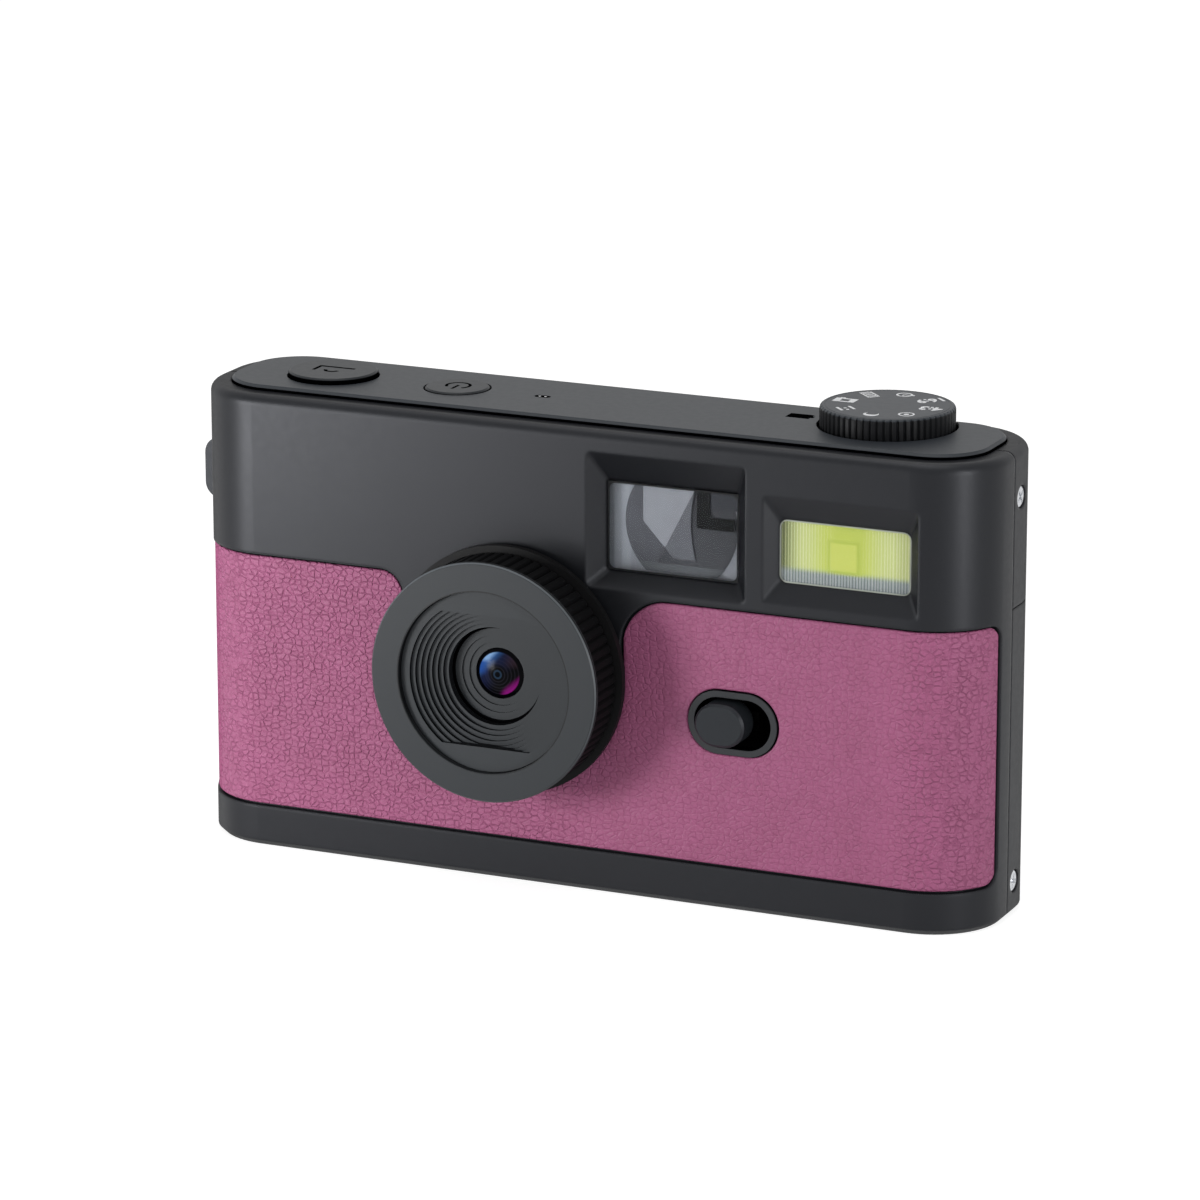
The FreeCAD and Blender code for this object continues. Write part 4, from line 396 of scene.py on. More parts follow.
def moulded(name, colour, rough, scale, depth, change=0.06, soft=None, sheen=None, shade=None,
            **plain):
    """Satin moulded plastic or paint with a fine grain and slightly uneven tone. With sheen, its
    shine fades where it is seen at a slant, as on a matt skin. Shade masks parts that lie in the
    dark, and these are painted near-black as painted shade."""
    def build(work):
        where = work.place()
        grain = work.effect(grain_group, where, scale)
        face = work.mix(grain["Shade"], srgb(*colour, 1 - change), srgb(*colour))
        if shade:
            # painted shade: where the shade mask is 1 the colour turns near-black
            face = work.paint(face, (shade(work, where), 1, BLACK))
        values = {"Base_Color": face, **uneven(work, grain, rough, 0.015, depth, soft)}
        if sheen:
            values["Specular_IOR_Level"] = work.slant(0.5, 0.85, sheen, sheen * 0.08)
        return values
    return finish(name, build, **plain)


def leather_look(work):
    """Pink leather, painted darker in its creases as painted shade, with painted shade laid over
    the part right of the lens, where its creases are also finer.
    """
    where = work.place()
    pebble = work.effect(pebble_group, where, 1.0)
    x = work.parts(where)["X"]
    coarse = work.plus(work.step(x, -6.0, 8.0, 1.0, 0.5), work.step(x, 44.0, 49.0, 0.0, 0.5))
    # painted shade: a broad darkening in the crease colour over the part right of the lens
    shade_right_of_lens = work.times(work.step(x, -4.0, 12.0), work.step(x, 40.0, 49.0, 1.0, 0.1))
    speck = work.step(work.noise(where, 3.0, 4.0, 0.7), 0.36, 0.64)
    # painted shade: crease is the darker colour painted into the creases and over the part right of
    # the lens
    crease, deep, light, pale = (88, 36, 62), (147, 78, 112), (152, 81, 117), (162, 92, 128)
    return {
        "Base_Color": work.paint(srgb(*deep), (work.step(pebble["Broad"], 0.35, 0.65), 1, light),
                                 (shade_right_of_lens, 0.2, crease), (speck, 0.45, pale),
                                 (work.times(work.times(pebble["Crease"], 0.28), coarse), 1,
                                  crease)),
        "Roughness": work.share(pebble["Crease"], 0.48, 0.66),
        "Specular_IOR_Level": work.slant(0.45, 0.8, 0.32, 0.01),
        "Normal": work.bump(pebble["Height"], 0.15 * MM, work.times(coarse, 0.8)),
    }


SLATE = (41, 44, 47)


def ring_look(work):
    """Slate front face of the lens ring with a painted highlight on its rim towards the top and
    right, painted highlights at the knurls' starts, a painted shade line round the bore, and
    near-black knurls behind it.
    """
    where = work.place()
    depth = work.math("SUBTRACT", work.parts(where)["Y"], RING_FRONT)
    spot = work.parts(work.vector("SUBTRACT", where, tuple(LENS_CENTRE)))
    grain = work.effect(grain_group, where, 9.0)
    tilt = work.lean(spot, 0.35, 0.94)
    front = work.fade(depth, 0.15, 0.4)
    # painted highlight: light ticks at the knurls' starts behind the rim
    tick_highlights = work.band(depth, 0.42, 0.5, 0.7, 0.9)
    # painted shade: a dark line round the bore's edge, stronger towards the top
    bore_edge_shade = work.times(work.fade(work.radius(spot), 12.5, 12.62),
                      work.step(tilt, -12.0, -8.0, 0.3, 0.85))
    # painted highlight: the pale rim on the chamfer, strongest towards the top and right
    rim = work.times(work.band(depth, 0.03, 0.08, 0.2, 0.28), work.step(tilt, -9.0, 6.0, 0.1, 0.7))
    return {
        "Base_Color": work.paint(srgb(12, 12, 13), (tick_highlights, 0.6, (60, 62, 65)), (front, 1, SLATE),
                                 (bore_edge_shade, 1, (6, 7, 8)), (rim, 1, (92, 97, 101))),
        "Roughness": work.share(front, 0.6, 0.42),
        "Specular_IOR_Level": work.share(front, 0.06, 0.22),
        "Normal": work.bump(grain["Height"], 0.002 * MM, normal=work.soft_edge(0.06)),
    }


def baffle_look(work):
    """Satin funnel whose risers are painted near-black in stripes as painted shade: the share of a
    step's depth sets the painted shade.
    """
    where = work.place()
    depth = work.math("SUBTRACT", work.parts(where)["Y"], BAFFLE_FRONT)
    grain = work.effect(grain_group, where, 9.0)

    def stripes(pitch, shift, low, high, pale=0.0):
        share = work.math("FRACT", work.plus(work.math("DIVIDE", depth, pitch), shift))
        return work.step(share, low, high, pale, 1.0)

    outer = work.times(stripes(0.42, 0.04, 0.1, 0.45), work.band(depth, 0.02, 0.1, 2.98, 3.1))
    tall = work.times(stripes(0.3, 0.0, 0.3, 0.5, 0.45), work.step(depth, 2.98, 3.1))
    low = work.step(depth, 4.22, 4.26)
    deep = work.plus(work.times(work.larger(outer, tall), work.math("SUBTRACT", 1.0, low)),
                     work.times(stripes(0.2, -21.3, 0.2, 0.36), low))
    # painted shade: the risers' stripes are painted near-black
    return {"Base_Color": work.paint(srgb(*SLATE), (deep, 1, (5, 5, 6))),
            "Roughness": work.share(deep, 0.42, 0.7),
            "Specular_IOR_Level": work.share(deep, 0.22, 0.0),
            "Normal": work.bump(grain["Height"], 0.003 * MM)}


def layered(name, colour, low_colour, axis, low, high, rough, spec, low_spec=0.0):
    """Plastic that turns to another tone between two levels along X, Y or Z."""
    def build(work):
        where = work.place()
        grain = work.effect(grain_group, where, 10.0)
        share = work.step(work.parts(where)[axis], low, high)
        tone = work.mix(share, srgb(*low_colour), srgb(*colour))
        dark = work.mix(1.0, tone, (0.97, 0.97, 0.97, 1), "MULTIPLY")
        return {"Base_Color": work.mix(grain["Shade"], dark, tone),
                "Specular_IOR_Level": work.share(share, low_spec, spec),
                **uneven(work, grain, rough, 0.01, 0.0015, 0.08)}
    return finish(name, build)


def clear(name, tint, ior):
    """Clear glass or plastic. Light reaches what lies behind it."""
    def look(work):
        path = work.node("ShaderNodeLightPath")
        grain = work.effect(grain_group, work.place(), 3.0)
        dim = work.times(path.outputs["Is Shadow Ray"], 0.92)
        return {"Alpha": work.math("SUBTRACT", 1.0, dim),
                "Roughness": work.share(grain["Shade"], 0.02, 0.035)}
    return finish(name, look, Base_Color=srgb(*tint), Transmission_Weight=1.0, IOR=ior)


def lens_reflections_look(work):
    """Lens with painted reflections: a blue crescent with a pale painted highlight towards the
    upper left, magenta at the lower right, faint painted ring reflections and a painted glint round
    a small dark pupil. These colours also glow by emission."""
    spot = work.parts(work.vector("SUBTRACT", work.place(), tuple(LENS_CENTRE)))
    x, z = spot["X"], spot["Z"]
    radius = work.radius(spot)
    upper, lower = work.lean(spot, -0.72, 0.69), work.lean(spot, 0.66, -0.75)
    outer = work.step(radius, 0.9, 1.7)
    rings = work.step(work.math("SINE", work.times(radius, 14.0)), 0.1, 1.0)
    haze_reflection = work.times(work.step(upper, -1.2, 1.2), outer)
    blue = work.times(work.step(upper, 1.1, 2.5), outer)
    edge = work.times(work.fade(x, -2.6, -1.2), work.step(z, -0.6, 0.4))
    pale = work.times(work.step(upper, 1.9, 2.7), work.step(z, 1.2, 2.0))
    warm_reflection = work.times(work.step(x, 0.4, 2.2), work.step(z, 0.6, 1.8))
    magenta_reflection = work.times(work.step(lower, 1.7, 2.9), work.step(x, -0.3, 1.0))
    # painted reflections, highlight and glint laid over a near-black base
    colour = work.paint(
        srgb(6, 6, 8), (rings, 0.2, (52, 50, 60)), (haze_reflection, 0.6, (24, 30, 58)),
        (blue, 1, (40, 74, 122)), (edge, 0.5, (22, 54, 128)), (pale, 0.75, (124, 158, 196)),
        (warm_reflection, 0.4, (60, 42, 48)), (magenta_reflection, 1, (128, 22, 112)),
        (work.step(radius, 2.82, 3.0), 1, (3, 3, 5)),
        (work.band(radius, 0.3, 0.4, 0.55, 0.7), 0.7, (30, 48, 66)),
        (work.fade(radius, 0.32, 0.42), 1, (2, 3, 6)))
    # painted glow: the painted colours also feed emission
    return {"Base_Color": colour, "Roughness": work.share(rings, 0.16, 0.2),
            "Emission_Color": colour}


def field_look(work):
    """What shows in the viewfinder beside its lens: grey, paler in an upright band."""
    where = work.place()
    across = work.math("SUBTRACT", work.parts(where)["X"], FIELD_LEFT)
    grain = work.effect(grain_group, where, 4.0)
    return {"Base_Color": work.paint(srgb(88, 90, 94),
                                     (work.step(across, 0.3, 0.7), 1, (104, 106, 110)),
                                     (work.band(across, 1.4, 1.8, 2.6, 3.2), 1, (114, 116, 120))),
            "Roughness": work.share(grain["Shade"], 0.4, 0.5)}


def flash_look(work):
    """Behind the flash lens: yellow-green with a square emitter, pale ribbed ends, blue-grey
    foot."""
    where = work.place()
    spot = work.parts(work.vector("SUBTRACT", where, (FLASH_X, 0.0, FLASH_Z)))
    across, up = spot["X"], spot["Z"]
    wide = work.size(across)
    waver = work.noise(work.vector("MULTIPLY", where, (1.0, 0.0, 0.0)), 1.3, 2.0)
    waves = work.math("SINE", work.plus(work.times(across, 15.0), work.times(waver, 5.0)))
    streak = work.step(waves, -0.4, 0.9)
    pale = work.times(streak, work.step(wide, 1.5, 8.0, 0.1, 0.75))
    dull = work.times(work.fade(across, -9.1, -5.8), work.share(streak, 1.0, 0.6))
    foot_tone = work.mix(streak, srgb(86, 91, 96), srgb(122, 126, 132))
    near = work.times(work.fade(work.size(work.plus(across, -0.4)), 1.6, 2.6),
                      work.step(up, -2.6, -2.0))
    square = work.larger(work.size(work.plus(across, 0.3)), work.size(work.plus(up, 0.1)))
    colour = work.paint(srgb(137, 144, 72), (work.step(wide, 2.4, 6.0), 1, (140, 145, 98)),
                        (pale, 1, (160, 163, 132)), (dull, 1, (70, 75, 52)))
    colour = work.mix(work.fade(up, -2.8, -1.8), colour, foot_tone)
    colour = work.paint(colour, (near, 0.7, (132, 140, 64)),
                        (work.band(square, 1.8, 1.95, 2.0, 2.5), 0.45, (118, 127, 52)),
                        (work.fade(square, 1.75, 1.85), 1, (142, 147, 76)))
    return {"Base_Color": colour, "Roughness": work.share(streak, 0.35, 0.55)}


def metal(name, colour, rough):
    """Bright metal with fine scratches."""
    def build(work):
        lines = work.noise(work.vector("MULTIPLY", work.place(), (4.0, 4.0, 30.0)), 1.0, 4.0, 0.6)
        return {"Base_Color": work.mix(lines, srgb(*colour, 0.8), srgb(*colour)),
                "Roughness": work.step(lines, 0.2, 0.8, rough - 0.06, rough + 0.08),
                "Normal": work.bump(lines, 0.003 * MM)}
    return finish(name, build, Metallic=1.0)


def painted_slot_shade(work, where):
    """Masks the shell's floor behind the slide switch, which is painted near-black as painted
    shade.
    """
    spot = work.parts(work.vector("SUBTRACT", where, tuple(middle("switch_bezel"))))
    inside = work.times(work.fade(work.size(spot["X"]), 5.4, 5.5),
                        work.fade(work.size(spot["Z"]), 3.9, 4.0))
    return work.times(inside, work.fade(spot["Y"], 2.5, 2.6))


def button_with_painted_shade(name, node):
    """Plastic for a button on the top plate: its side is painted near-black as shade below the
    top's edge.
    """
    top = span(node)[1][2]
    # painted shade: black with no shine below the top's edge
    return layered(name, (30, 33, 37), BLACK, "Z", top - 0.3, top - 0.12, 0.48, 0.24)


lens_low, lens_high = span("lens_glass")
LENS_CENTRE = middle("lens_glass")
LENS_CENTRE[1] = lens_low[1]
RING_FRONT = span("focus_ring")[0][1]
FLASH_X, _, FLASH_Z = middle("flash_lens")
BAFFLE_FRONT = span("lens_baffle")[0][1]
FINDER_RIM = 0.9
FIELD_LEFT = span("viewfinder_window")[0][0] + FINDER_RIM
PLATE_TOP = span("top_plate")[1][2]
BEZEL_FRONT = span("switch_bezel")[0][1]
DIAL_TOP = span("mode_dial")[1][2]
COOL = (0.92, 0.94, 1.0, 1.0)
BLACK = (2, 2, 3)

steel = metal("screw_steel", (200, 202, 206), 0.24)
# painted shade: the dial's side below its top is painted darker and duller
dial_plastic = layered("dial_plastic", (34, 39, 45), (19, 20, 22), "Z", DIAL_TOP - 0.4,
                       DIAL_TOP - 0.2, 0.46, 0.3, 0.1)
leather = finish("pink_leather", leather_look)
engraved = moulded("engraved_black", (4, 4, 5), 0.6, 12.0, 0.002, Specular_IOR_Level=0.0)
white_print = moulded("white_print", (244, 245, 247), 0.5, 14.0, 0.001, 0.04)
window_glass = clear("window_glass", (240, 242, 244), 1.1)
ribbed_clear = clear("ribbed_clear", (250, 252, 246), 1.07)
# the lens's painted reflections glow by emission, though it is no lamp
lens_reflection_paint = finish("lens_painted_reflections", lens_reflections_look, Emission_Strength=0.3, Specular_IOR_Level=0.03)
# painted highlight: a pale ring for the light on the flash lens's clear edge
flash_rim_highlight = moulded("flash_rim_highlight", (140, 145, 136), 0.3, 8.0, 0.002)
flash_back = finish("flash_phosphor", flash_look, Specular_IOR_Level=0.1)
window_edge = moulded("window_edge", (26, 27, 29), 0.5, 8.0, 0.001, Specular_IOR_Level=0.1)
field = finish("finder_field", field_look, Specular_IOR_Level=0.05)

DRESS = {
    # the shell gets painted shade on its floor behind the slide switch
    "front_shell rear_cover_lower rear_cover_upper": moulded(
        "charcoal_shell", (20, 21, 24), 0.4, 12.0, 0.0015, 0.03, 0.6, 0.24, painted_slot_shade,
        Specular_Tint=COOL),
    # painted shade: the top plate's side below its top edge is painted near-black
    "top_plate": layered("charcoal_top", (36, 40, 45), BLACK, "Z", PLATE_TOP - 0.42,
                         PLATE_TOP - 0.3, 0.5, 0.3),
    "shutter_button": button_with_painted_shade("shutter_plastic", "shutter_button"),
    "power_button": button_with_painted_shade("power_plastic", "power_button"),
    "switch_knob ok_key up_key down_key menu_key play_key strap_bar": moulded(
        "button_plastic", (25, 28, 31), 0.45, 12.0, 0.003, soft=0.12, Specular_IOR_Level=0.22,
        Specular_Tint=COOL),
    "mode_dial": dial_plastic,
    # painted shade: the bezel is painted near-black behind its front face
    "switch_bezel": layered("bezel_plastic", (3, 3, 4), (38, 40, 43), "Y", BEZEL_FRONT + 0.05,
                            BEZEL_FRONT + 0.35, 0.45, 0.0, 0.24),
    "lens_baffle": finish("funnel_black", baffle_look),
    "lens_cell sensor_holder viewfinder_tunnel lens_housing": moulded(
        "hidden_black", (12, 12, 13), 0.55, 8.0, 0.003, Specular_IOR_Level=0.15),
    "focus_ring": finish("lens_ring", ring_look),
    "usb_port card_socket dial_shaft board_screws": steel,
    "tripod_bush": metal("brass_bush", (196, 160, 92), 0.3),
    "flash_reflector": metal("reflector_metal", (214, 214, 206), 0.16),
    "flash_led": moulded("flash_emitter", (222, 210, 70), 0.35, 6.0, 0.002),
    "main_board button_board dial_board sensor_board flash_board key_board": moulded(
        "board_green", (24, 84, 52), 0.4, 4.0, 0.01, 0.3),
    "shutter_switch power_switch slide_switch dial_encoder key_switches speaker "
    "image_processor image_sensor microphone": moulded(
        "component_black", (26, 27, 29), 0.35, 6.0, 0.004),
    "battery": moulded("battery_foil", (150, 152, 156), 0.3, 2.0, 0.02, 0.2, Metallic=0.6),
    "display_panel": moulded("display_black", (12, 14, 18), 0.2, 1.0, 0.002),
    "screen_window": moulded("screen_glass", (8, 9, 11), 0.08, 0.6, 0.002, 0.3, 0.12,
                             Coat_Weight=1.0),
    "viewfinder_window eyepiece_window": window_glass,
    "flash_lens": ribbed_clear,
    "status_light": moulded("status_window", (6, 6, 7), 0.4, 10.0, 0.001, Specular_IOR_Level=0.0),
}
for names, material in DRESS.items():
    for name in names.split():
        mesh = nodes[name].data
        mesh.materials.clear()
        mesh.materials.append(material)


# ------------------------ leather

SHEET_THICKNESS = 0.5
CORNER = 10.0  # radius of the corners that the sheet goes round, each by END_TURN
END_TURN = math.acos(0.23)
NOTCH = 16.15  # radius of the dip under the lens
PACE = 0.45  # from point to point, but closer near an edge
NEAR_EDGE = np.array([0.0, 0.04, 0.1, 0.18, 0.28, 0.42])
SWITCH_BLOCK = np.array([9.0, 6.6])  # half width and height of the part round the switch
FAR = 99.0  # a distance at which no edge is felt


def run(first, last, fine_start, fine_end):
    """Steps from first to last, set closer where that end is an edge of the sheet."""
    inner = np.arange(1, max(int((last - first) / PACE), 2)) * 1.0
    inner = first + (last - first) * inner / (inner[-1] + 1)
    keep = inner[(inner > first + 0.6) & (inner < last - 0.6)]
    return np.concatenate([first + NEAR_EDGE if fine_start else [first], keep,
                           (last - NEAR_EDGE)[::-1] if fine_end else [last]])


def runs(stops, fine_start=True, fine_end=True):
    """Steps through several stops."""
    last = len(stops) - 2
    parts = [run(a, b, fine_start and n == 0, fine_end and n == last)
             for n, (a, b) in enumerate(zip(stops, stops[1:]))]
    return np.concatenate(parts[:1] + [part[1:] for part in parts[1:]])


def roll(distance, radius=0.32):
    """A quarter circle: radius deep at the edge, nothing at that distance from it."""
    share = np.clip(distance / radius, 0, 1)
    return radius * (1 - np.sqrt(np.clip(1 - (1 - share) ** 2, 0, 1)))


def leather_sheet():
    """The sheet is a function of the way along the housing's outline, s, and the height, z.

    The outline runs straight along the front and turns each corner on a circle. Columns of
    points run between the lower edge and the upper edge, which dips under the lens, and every
    point sinks by a quarter-circle law as it nears an edge, so that the edges roll in.
    """
    low, high = span("leather_wrap")
    front, z_low, z_high = low[1], low[2], high[2]
    lens_x, _, lens_z = middle("lens_glass")
    straight = (high[0] - low[0]) / 2 - CORNER * math.sin(END_TURN)
    reach = straight + CORNER * END_TURN
    notch_left, notch_right = lens_x - NOTCH, lens_x + NOTCH
    switch = middle("switch_bezel")[[0, 2]]
    block_left, block_low = switch - SWITCH_BLOCK
    block_right, block_high = switch + SWITCH_BLOCK

    left = runs((-reach, notch_left))
    right = runs((notch_right, block_left, block_right, reach))
    under = lens_x - NOTCH * np.cos(np.linspace(0, math.pi, 60))
    lower = runs((z_low, block_low, lens_z), fine_end=False)
    upper = runs((lens_z, block_high, z_high), fine_start=False)

    def patch(s, levels, bottom, top, side, top_free):
        """A grid: columns at s, their heights shared out between the curves bottom and top."""
        share = (levels - levels[0]) / (levels[-1] - levels[0])
        z = bottom[None, :] + share[:, None] * (top - bottom)[None, :]
        away = np.broadcast_to(side, z.shape)
        if top_free:
            away = np.minimum(away, top[None, :] - z)
        if levels is lower:
            away = np.minimum(away, z - bottom[None, :])
        beyond = np.clip(np.abs(s) - straight, 0, None) / CORNER
        radius = CORNER - roll(away)
        x = np.sign(s) * (np.minimum(np.abs(s), straight) + radius * np.sin(beyond))
        return join(x, front + CORNER - radius * np.cos(beyond), z)

    grids = []
    for s, from_end, from_notch, notch_corner in (
            (left, left + reach, notch_left - left, 3.2),
            (right, reach - right, right - notch_right, 6.4)):
        end = roll(from_end, 2.0)
        top = z_high - end - roll(from_notch, notch_corner)
        level = np.full_like(s, lens_z)
        grids.append(patch(s, lower, z_low + end, level, from_end, False))
        grids.append(patch(s, upper, level, top, np.minimum(from_end, from_notch), True))
    arc = lens_z - np.sqrt(np.clip(NOTCH ** 2 - (under - lens_x) ** 2, 0, None))
    grids.append(patch(under, lower, np.full_like(under, z_low), arc, FAR, True))
    meshes = []
    for grid in grids:
        faces = quads(*grid.shape[:2])
        flat = grid.reshape(-1, 3)
        x, y, z = flat[faces].mean(1).T
        inside = ((x > block_left) & (x < block_right) & (y < front + 1)
                  & (z > block_low) & (z < block_high))
        meshes.append((flat, faces[~inside]))

    # the part round the switch: rings from the block's edge in to the slot-shaped hole
    xs = right[(right >= block_left - 1e-6) & (right <= block_right + 1e-6)]
    levels = np.concatenate([lower, upper[1:]])
    zs = levels[(levels >= block_low - 1e-6) & (levels <= block_high + 1e-6)]
    rim = np.vstack([join(xs, zs[0]), join(xs[-1], zs[1:]), join(xs[:-1][::-1], zs[-1]),
                     join(xs[0], zs[1:-1][::-1])])
    hole = rounded(12.85, 8.85, 4.42, steps=60)
    hole = np.vstack([hole, hole[:1]])
    dense = np.vstack([hole[:-1] + (hole[1:] - hole[:-1]) * t for t in (0.0, 0.25, 0.5, 0.75)])
    bearing = np.arctan2(dense[:, 1], dense[:, 0])
    order = np.argsort(bearing)
    spot = rim - switch
    aim = np.arctan2(spot[:, 1], spot[:, 0])
    inner = switch + join(*(np.interp(aim, bearing[order], dense[order, k], period=2 * math.pi)
                            for k in (0, 1)))
    length = np.linalg.norm(rim - inner, axis=1)[:, None]
    ways = [length * share for share in (1.0, 0.8, 0.6, 0.4, 0.22)]
    ways += [np.full_like(length, gap) for gap in NEAR_EDGE[::-1]]
    rings = []
    for away in ways:
        flat = inner + (rim - inner) * (away / length)
        rings.append(on_front(flat, front + roll(away[:, 0])))
    meshes.append((np.array(rings).reshape(-1, 3), quads(len(rings), len(rim), across=True)))
    return meshes


cover = piece("leather_cover", leather_sheet(), "housing", leather, ["leather_wrap"],
              60.0)
solid = cover.modifiers.new("thickness", "SOLIDIFY")
solid.thickness = SHEET_THICKNESS * MM
solid.offset = -1.0


# ------------------------ screws

def screw(at, side, radius, turn):
    """A screw head as a height over a disc: flat with a bevelled rim, sunk where the cross is."""
    reach = np.array([0.05, 0.12, 0.2, 0.26, 0.32, 0.4, 0.5, 0.6, 0.68, 0.74, 0.82, 0.9, 0.96, 1.0])
    angle = turns(AROUND)
    r = reach[:, None] * radius
    u, v = r * np.cos(angle + turn), r * np.sin(angle + turn)
    arm = np.minimum(np.abs(u), np.abs(v))
    inside = np.clip((0.24 - arm) / 0.08, 0, 1) * np.clip((0.95 - r) / 0.12, 0, 1)
    depth = 0.1 * reach[:, None] ** 6 + 0.45 * inside
    levels = [*zip(reach * radius, depth), (1.0, 0.75), (0.85, 0.95), (0.85, 5.8)]
    rings = np.array([join(d, r0 * np.cos(angle), r0 * np.sin(angle)) for r0, d in levels])
    return stack(np.array(at) + rings * (-side, 1, 1))


screw_low, screw_high = span("side_screws")
screw_y = middle("side_screws")[1]
head = (screw_high[1] - screw_low[1]) / 2
screws = [screw((x, screw_y, z), side, head - 0.05, turn)
          for side, x in ((-1, screw_low[0]), (1, screw_high[0]))
          for z, turn in ((screw_low[2] + head, 0.3), (screw_high[2] - head, 1.0))]
piece("cross_screws", screws, "housing", steel, ["side_screws"], 25.0)


# ------------------------ lens

def dome(radius, crown, front, count):
    """Profile of a ball's cap, from its middle to its rim, at its front-most depth."""
    ball = (radius ** 2 + crown ** 2) / (2 * crown)
    r = radius * np.sin(np.linspace(0.02, 1, count) * math.pi / 2)
    return [(a, front + ball - math.sqrt(ball ** 2 - a ** 2)) for a in r]


glass_radius = (lens_high[0] - lens_low[0]) / 2
profile = dome(glass_radius, 0.9, lens_low[1], 24) + [(glass_radius, lens_high[1])]
piece("lens_element_with_painted_reflections", [stack(lathe(profile, AROUND) + LENS_CENTRE * (1, 0, 1))], "lens_group",
      lens_reflection_paint, ["lens_glass"], 40.0)


# ------------------------ viewfinder and flash

BARREL = 9.0


def upright(levels, left, right):
    """A plate's outline between two curves, each giving x at every height, for strip."""
    return np.vstack([join(left, levels), join(right, levels)[::-1]])


def finder_view():
    """Plates behind the viewfinder window, back to front: (name, outline, colour).

    The lens barrel lies between two circles of one radius, its left edge on the one and its right
    edge on the other. Straight lines cut the pale field in it, a painted reflection of light in the
    window: a diagonal and a lower flank.
    """
    low = span("viewfinder_window")[0]
    base = low[2] + FINDER_RIM
    x0 = low[0] + FINDER_RIM
    z = np.linspace(base + 0.2, base + 11.8, 41)
    up = z - base
    arc_left = x0 + 11.18 - np.sqrt(BARREL ** 2 - (up - 6.9) ** 2)
    arc_right = x0 + 9.18 + np.sqrt(BARREL ** 2 - (up - 6.8) ** 2)
    flank = x0 + 4.75 + np.clip(6.9 - up, 0, 4.7) * 0.934
    diagonal = x0 + 12.27 - (12.0 - up) * 0.5136
    bulge = x0 + 11.58 + 0.03 * (up - 7.3) ** 2
    sole, grey, pale = up < 1.4, up > 2.2, up > 3.45
    return (
        ("barrel", upright(z, arc_left, arc_right), (54, 55, 58)),
        ("band", upright(z, arc_left, np.minimum(flank, diagonal)), (62, 63, 67)),
        ("sole", upright(z[sole], arc_left[sole], arc_right[sole]), (68, 70, 73)),
        # painted reflection: the pale plate stands for light reflected in the window, left of the
        # diagonal
        ("pale", upright(z[pale], flank[pale], diagonal[pale]), (110, 111, 115)),
        ("grey", upright(z[grey], np.maximum(flank, diagonal)[grey], bulge[grey]), (74, 75, 79)),
        ("plate", upright([base + 9.5, base + 11.8], x0 + 14.5, x0 + 18.3), (50, 51, 55)),
        ("post", upright([base + 7.5, base + 11.8], x0 + 12.5, x0 + 14.3), (14, 15, 16)),
        ("beam", upright([base + 6.7, base + 8.3], x0 + 12.5, x0 + 17.9), (12, 13, 14)),
    )


glass_low, glass_high = span("viewfinder_window")
wide, _, tall = glass_high - glass_low
pane_y, field_y = glass_low[1], glass_high[1] - 0.1
on_window, on_flash = about("viewfinder_window"), about("flash_lens")
pane = rounded(wide, tall, 0.4)
piece("finder_pane", [slab(pane, on_window, pane_y, pane_y + 0.3)], "housing", window_glass,
      ["viewfinder_window"])
piece("finder_field", [slab(pane, on_window, field_y, field_y + 0.1)], "housing", field)
for layer, (name, outline, colour) in enumerate(finder_view()):
    level = field_y - 0.06 * layer - 0.01
    piece("finder_" + name, [strip(outline, on_front, level - 0.04, level)], "housing",
          moulded(f"finder_{name}_tone", colour, 0.5, 5.0, 0.001, Specular_IOR_Level=0.05))
opening = rounded(wide - 2 * FINDER_RIM, tall - 2 * FINDER_RIM, 0.02)
round_hole = rounded(wide - 2.2, tall - 2.2, 0.9)
piece("finder_rim", [hoop(opening, round_hole, on_window, pane_y - 0.02, pane_y - 0.12)],
      "housing", window_edge)

flash_low, flash_high = span("flash_lens")
flash_wide, _, flash_tall = flash_high - flash_low - 1.82
flash_y = flash_low[1]
pane = rounded(flash_wide, flash_tall, 1.0)
inset = rounded(flash_wide, flash_tall, 1.0, 0.2)
piece("flash_pane", [slab(pane, on_flash, flash_y + 0.03, flash_y + 0.15)], "housing",
      ribbed_clear, ["flash_lens"], 20.0)
piece("flash_phosphor", [slab(pane, on_flash, flash_y + 0.18, flash_high[1])], "housing",
      flash_back)
# painted highlight round the flash lens's edge
piece("flash_rim", [hoop(pane, inset, on_flash, flash_y, flash_y + 0.02)], "housing", flash_rim_highlight)


# ------------------------ dial, buttons and marks

DIAL_NOTCHES = 60
MARK_DEPTH = 0.05
dial_centre = middle("mode_dial")
dial_low = span("mode_dial")[0]
dial_face = DIAL_TOP - 0.04


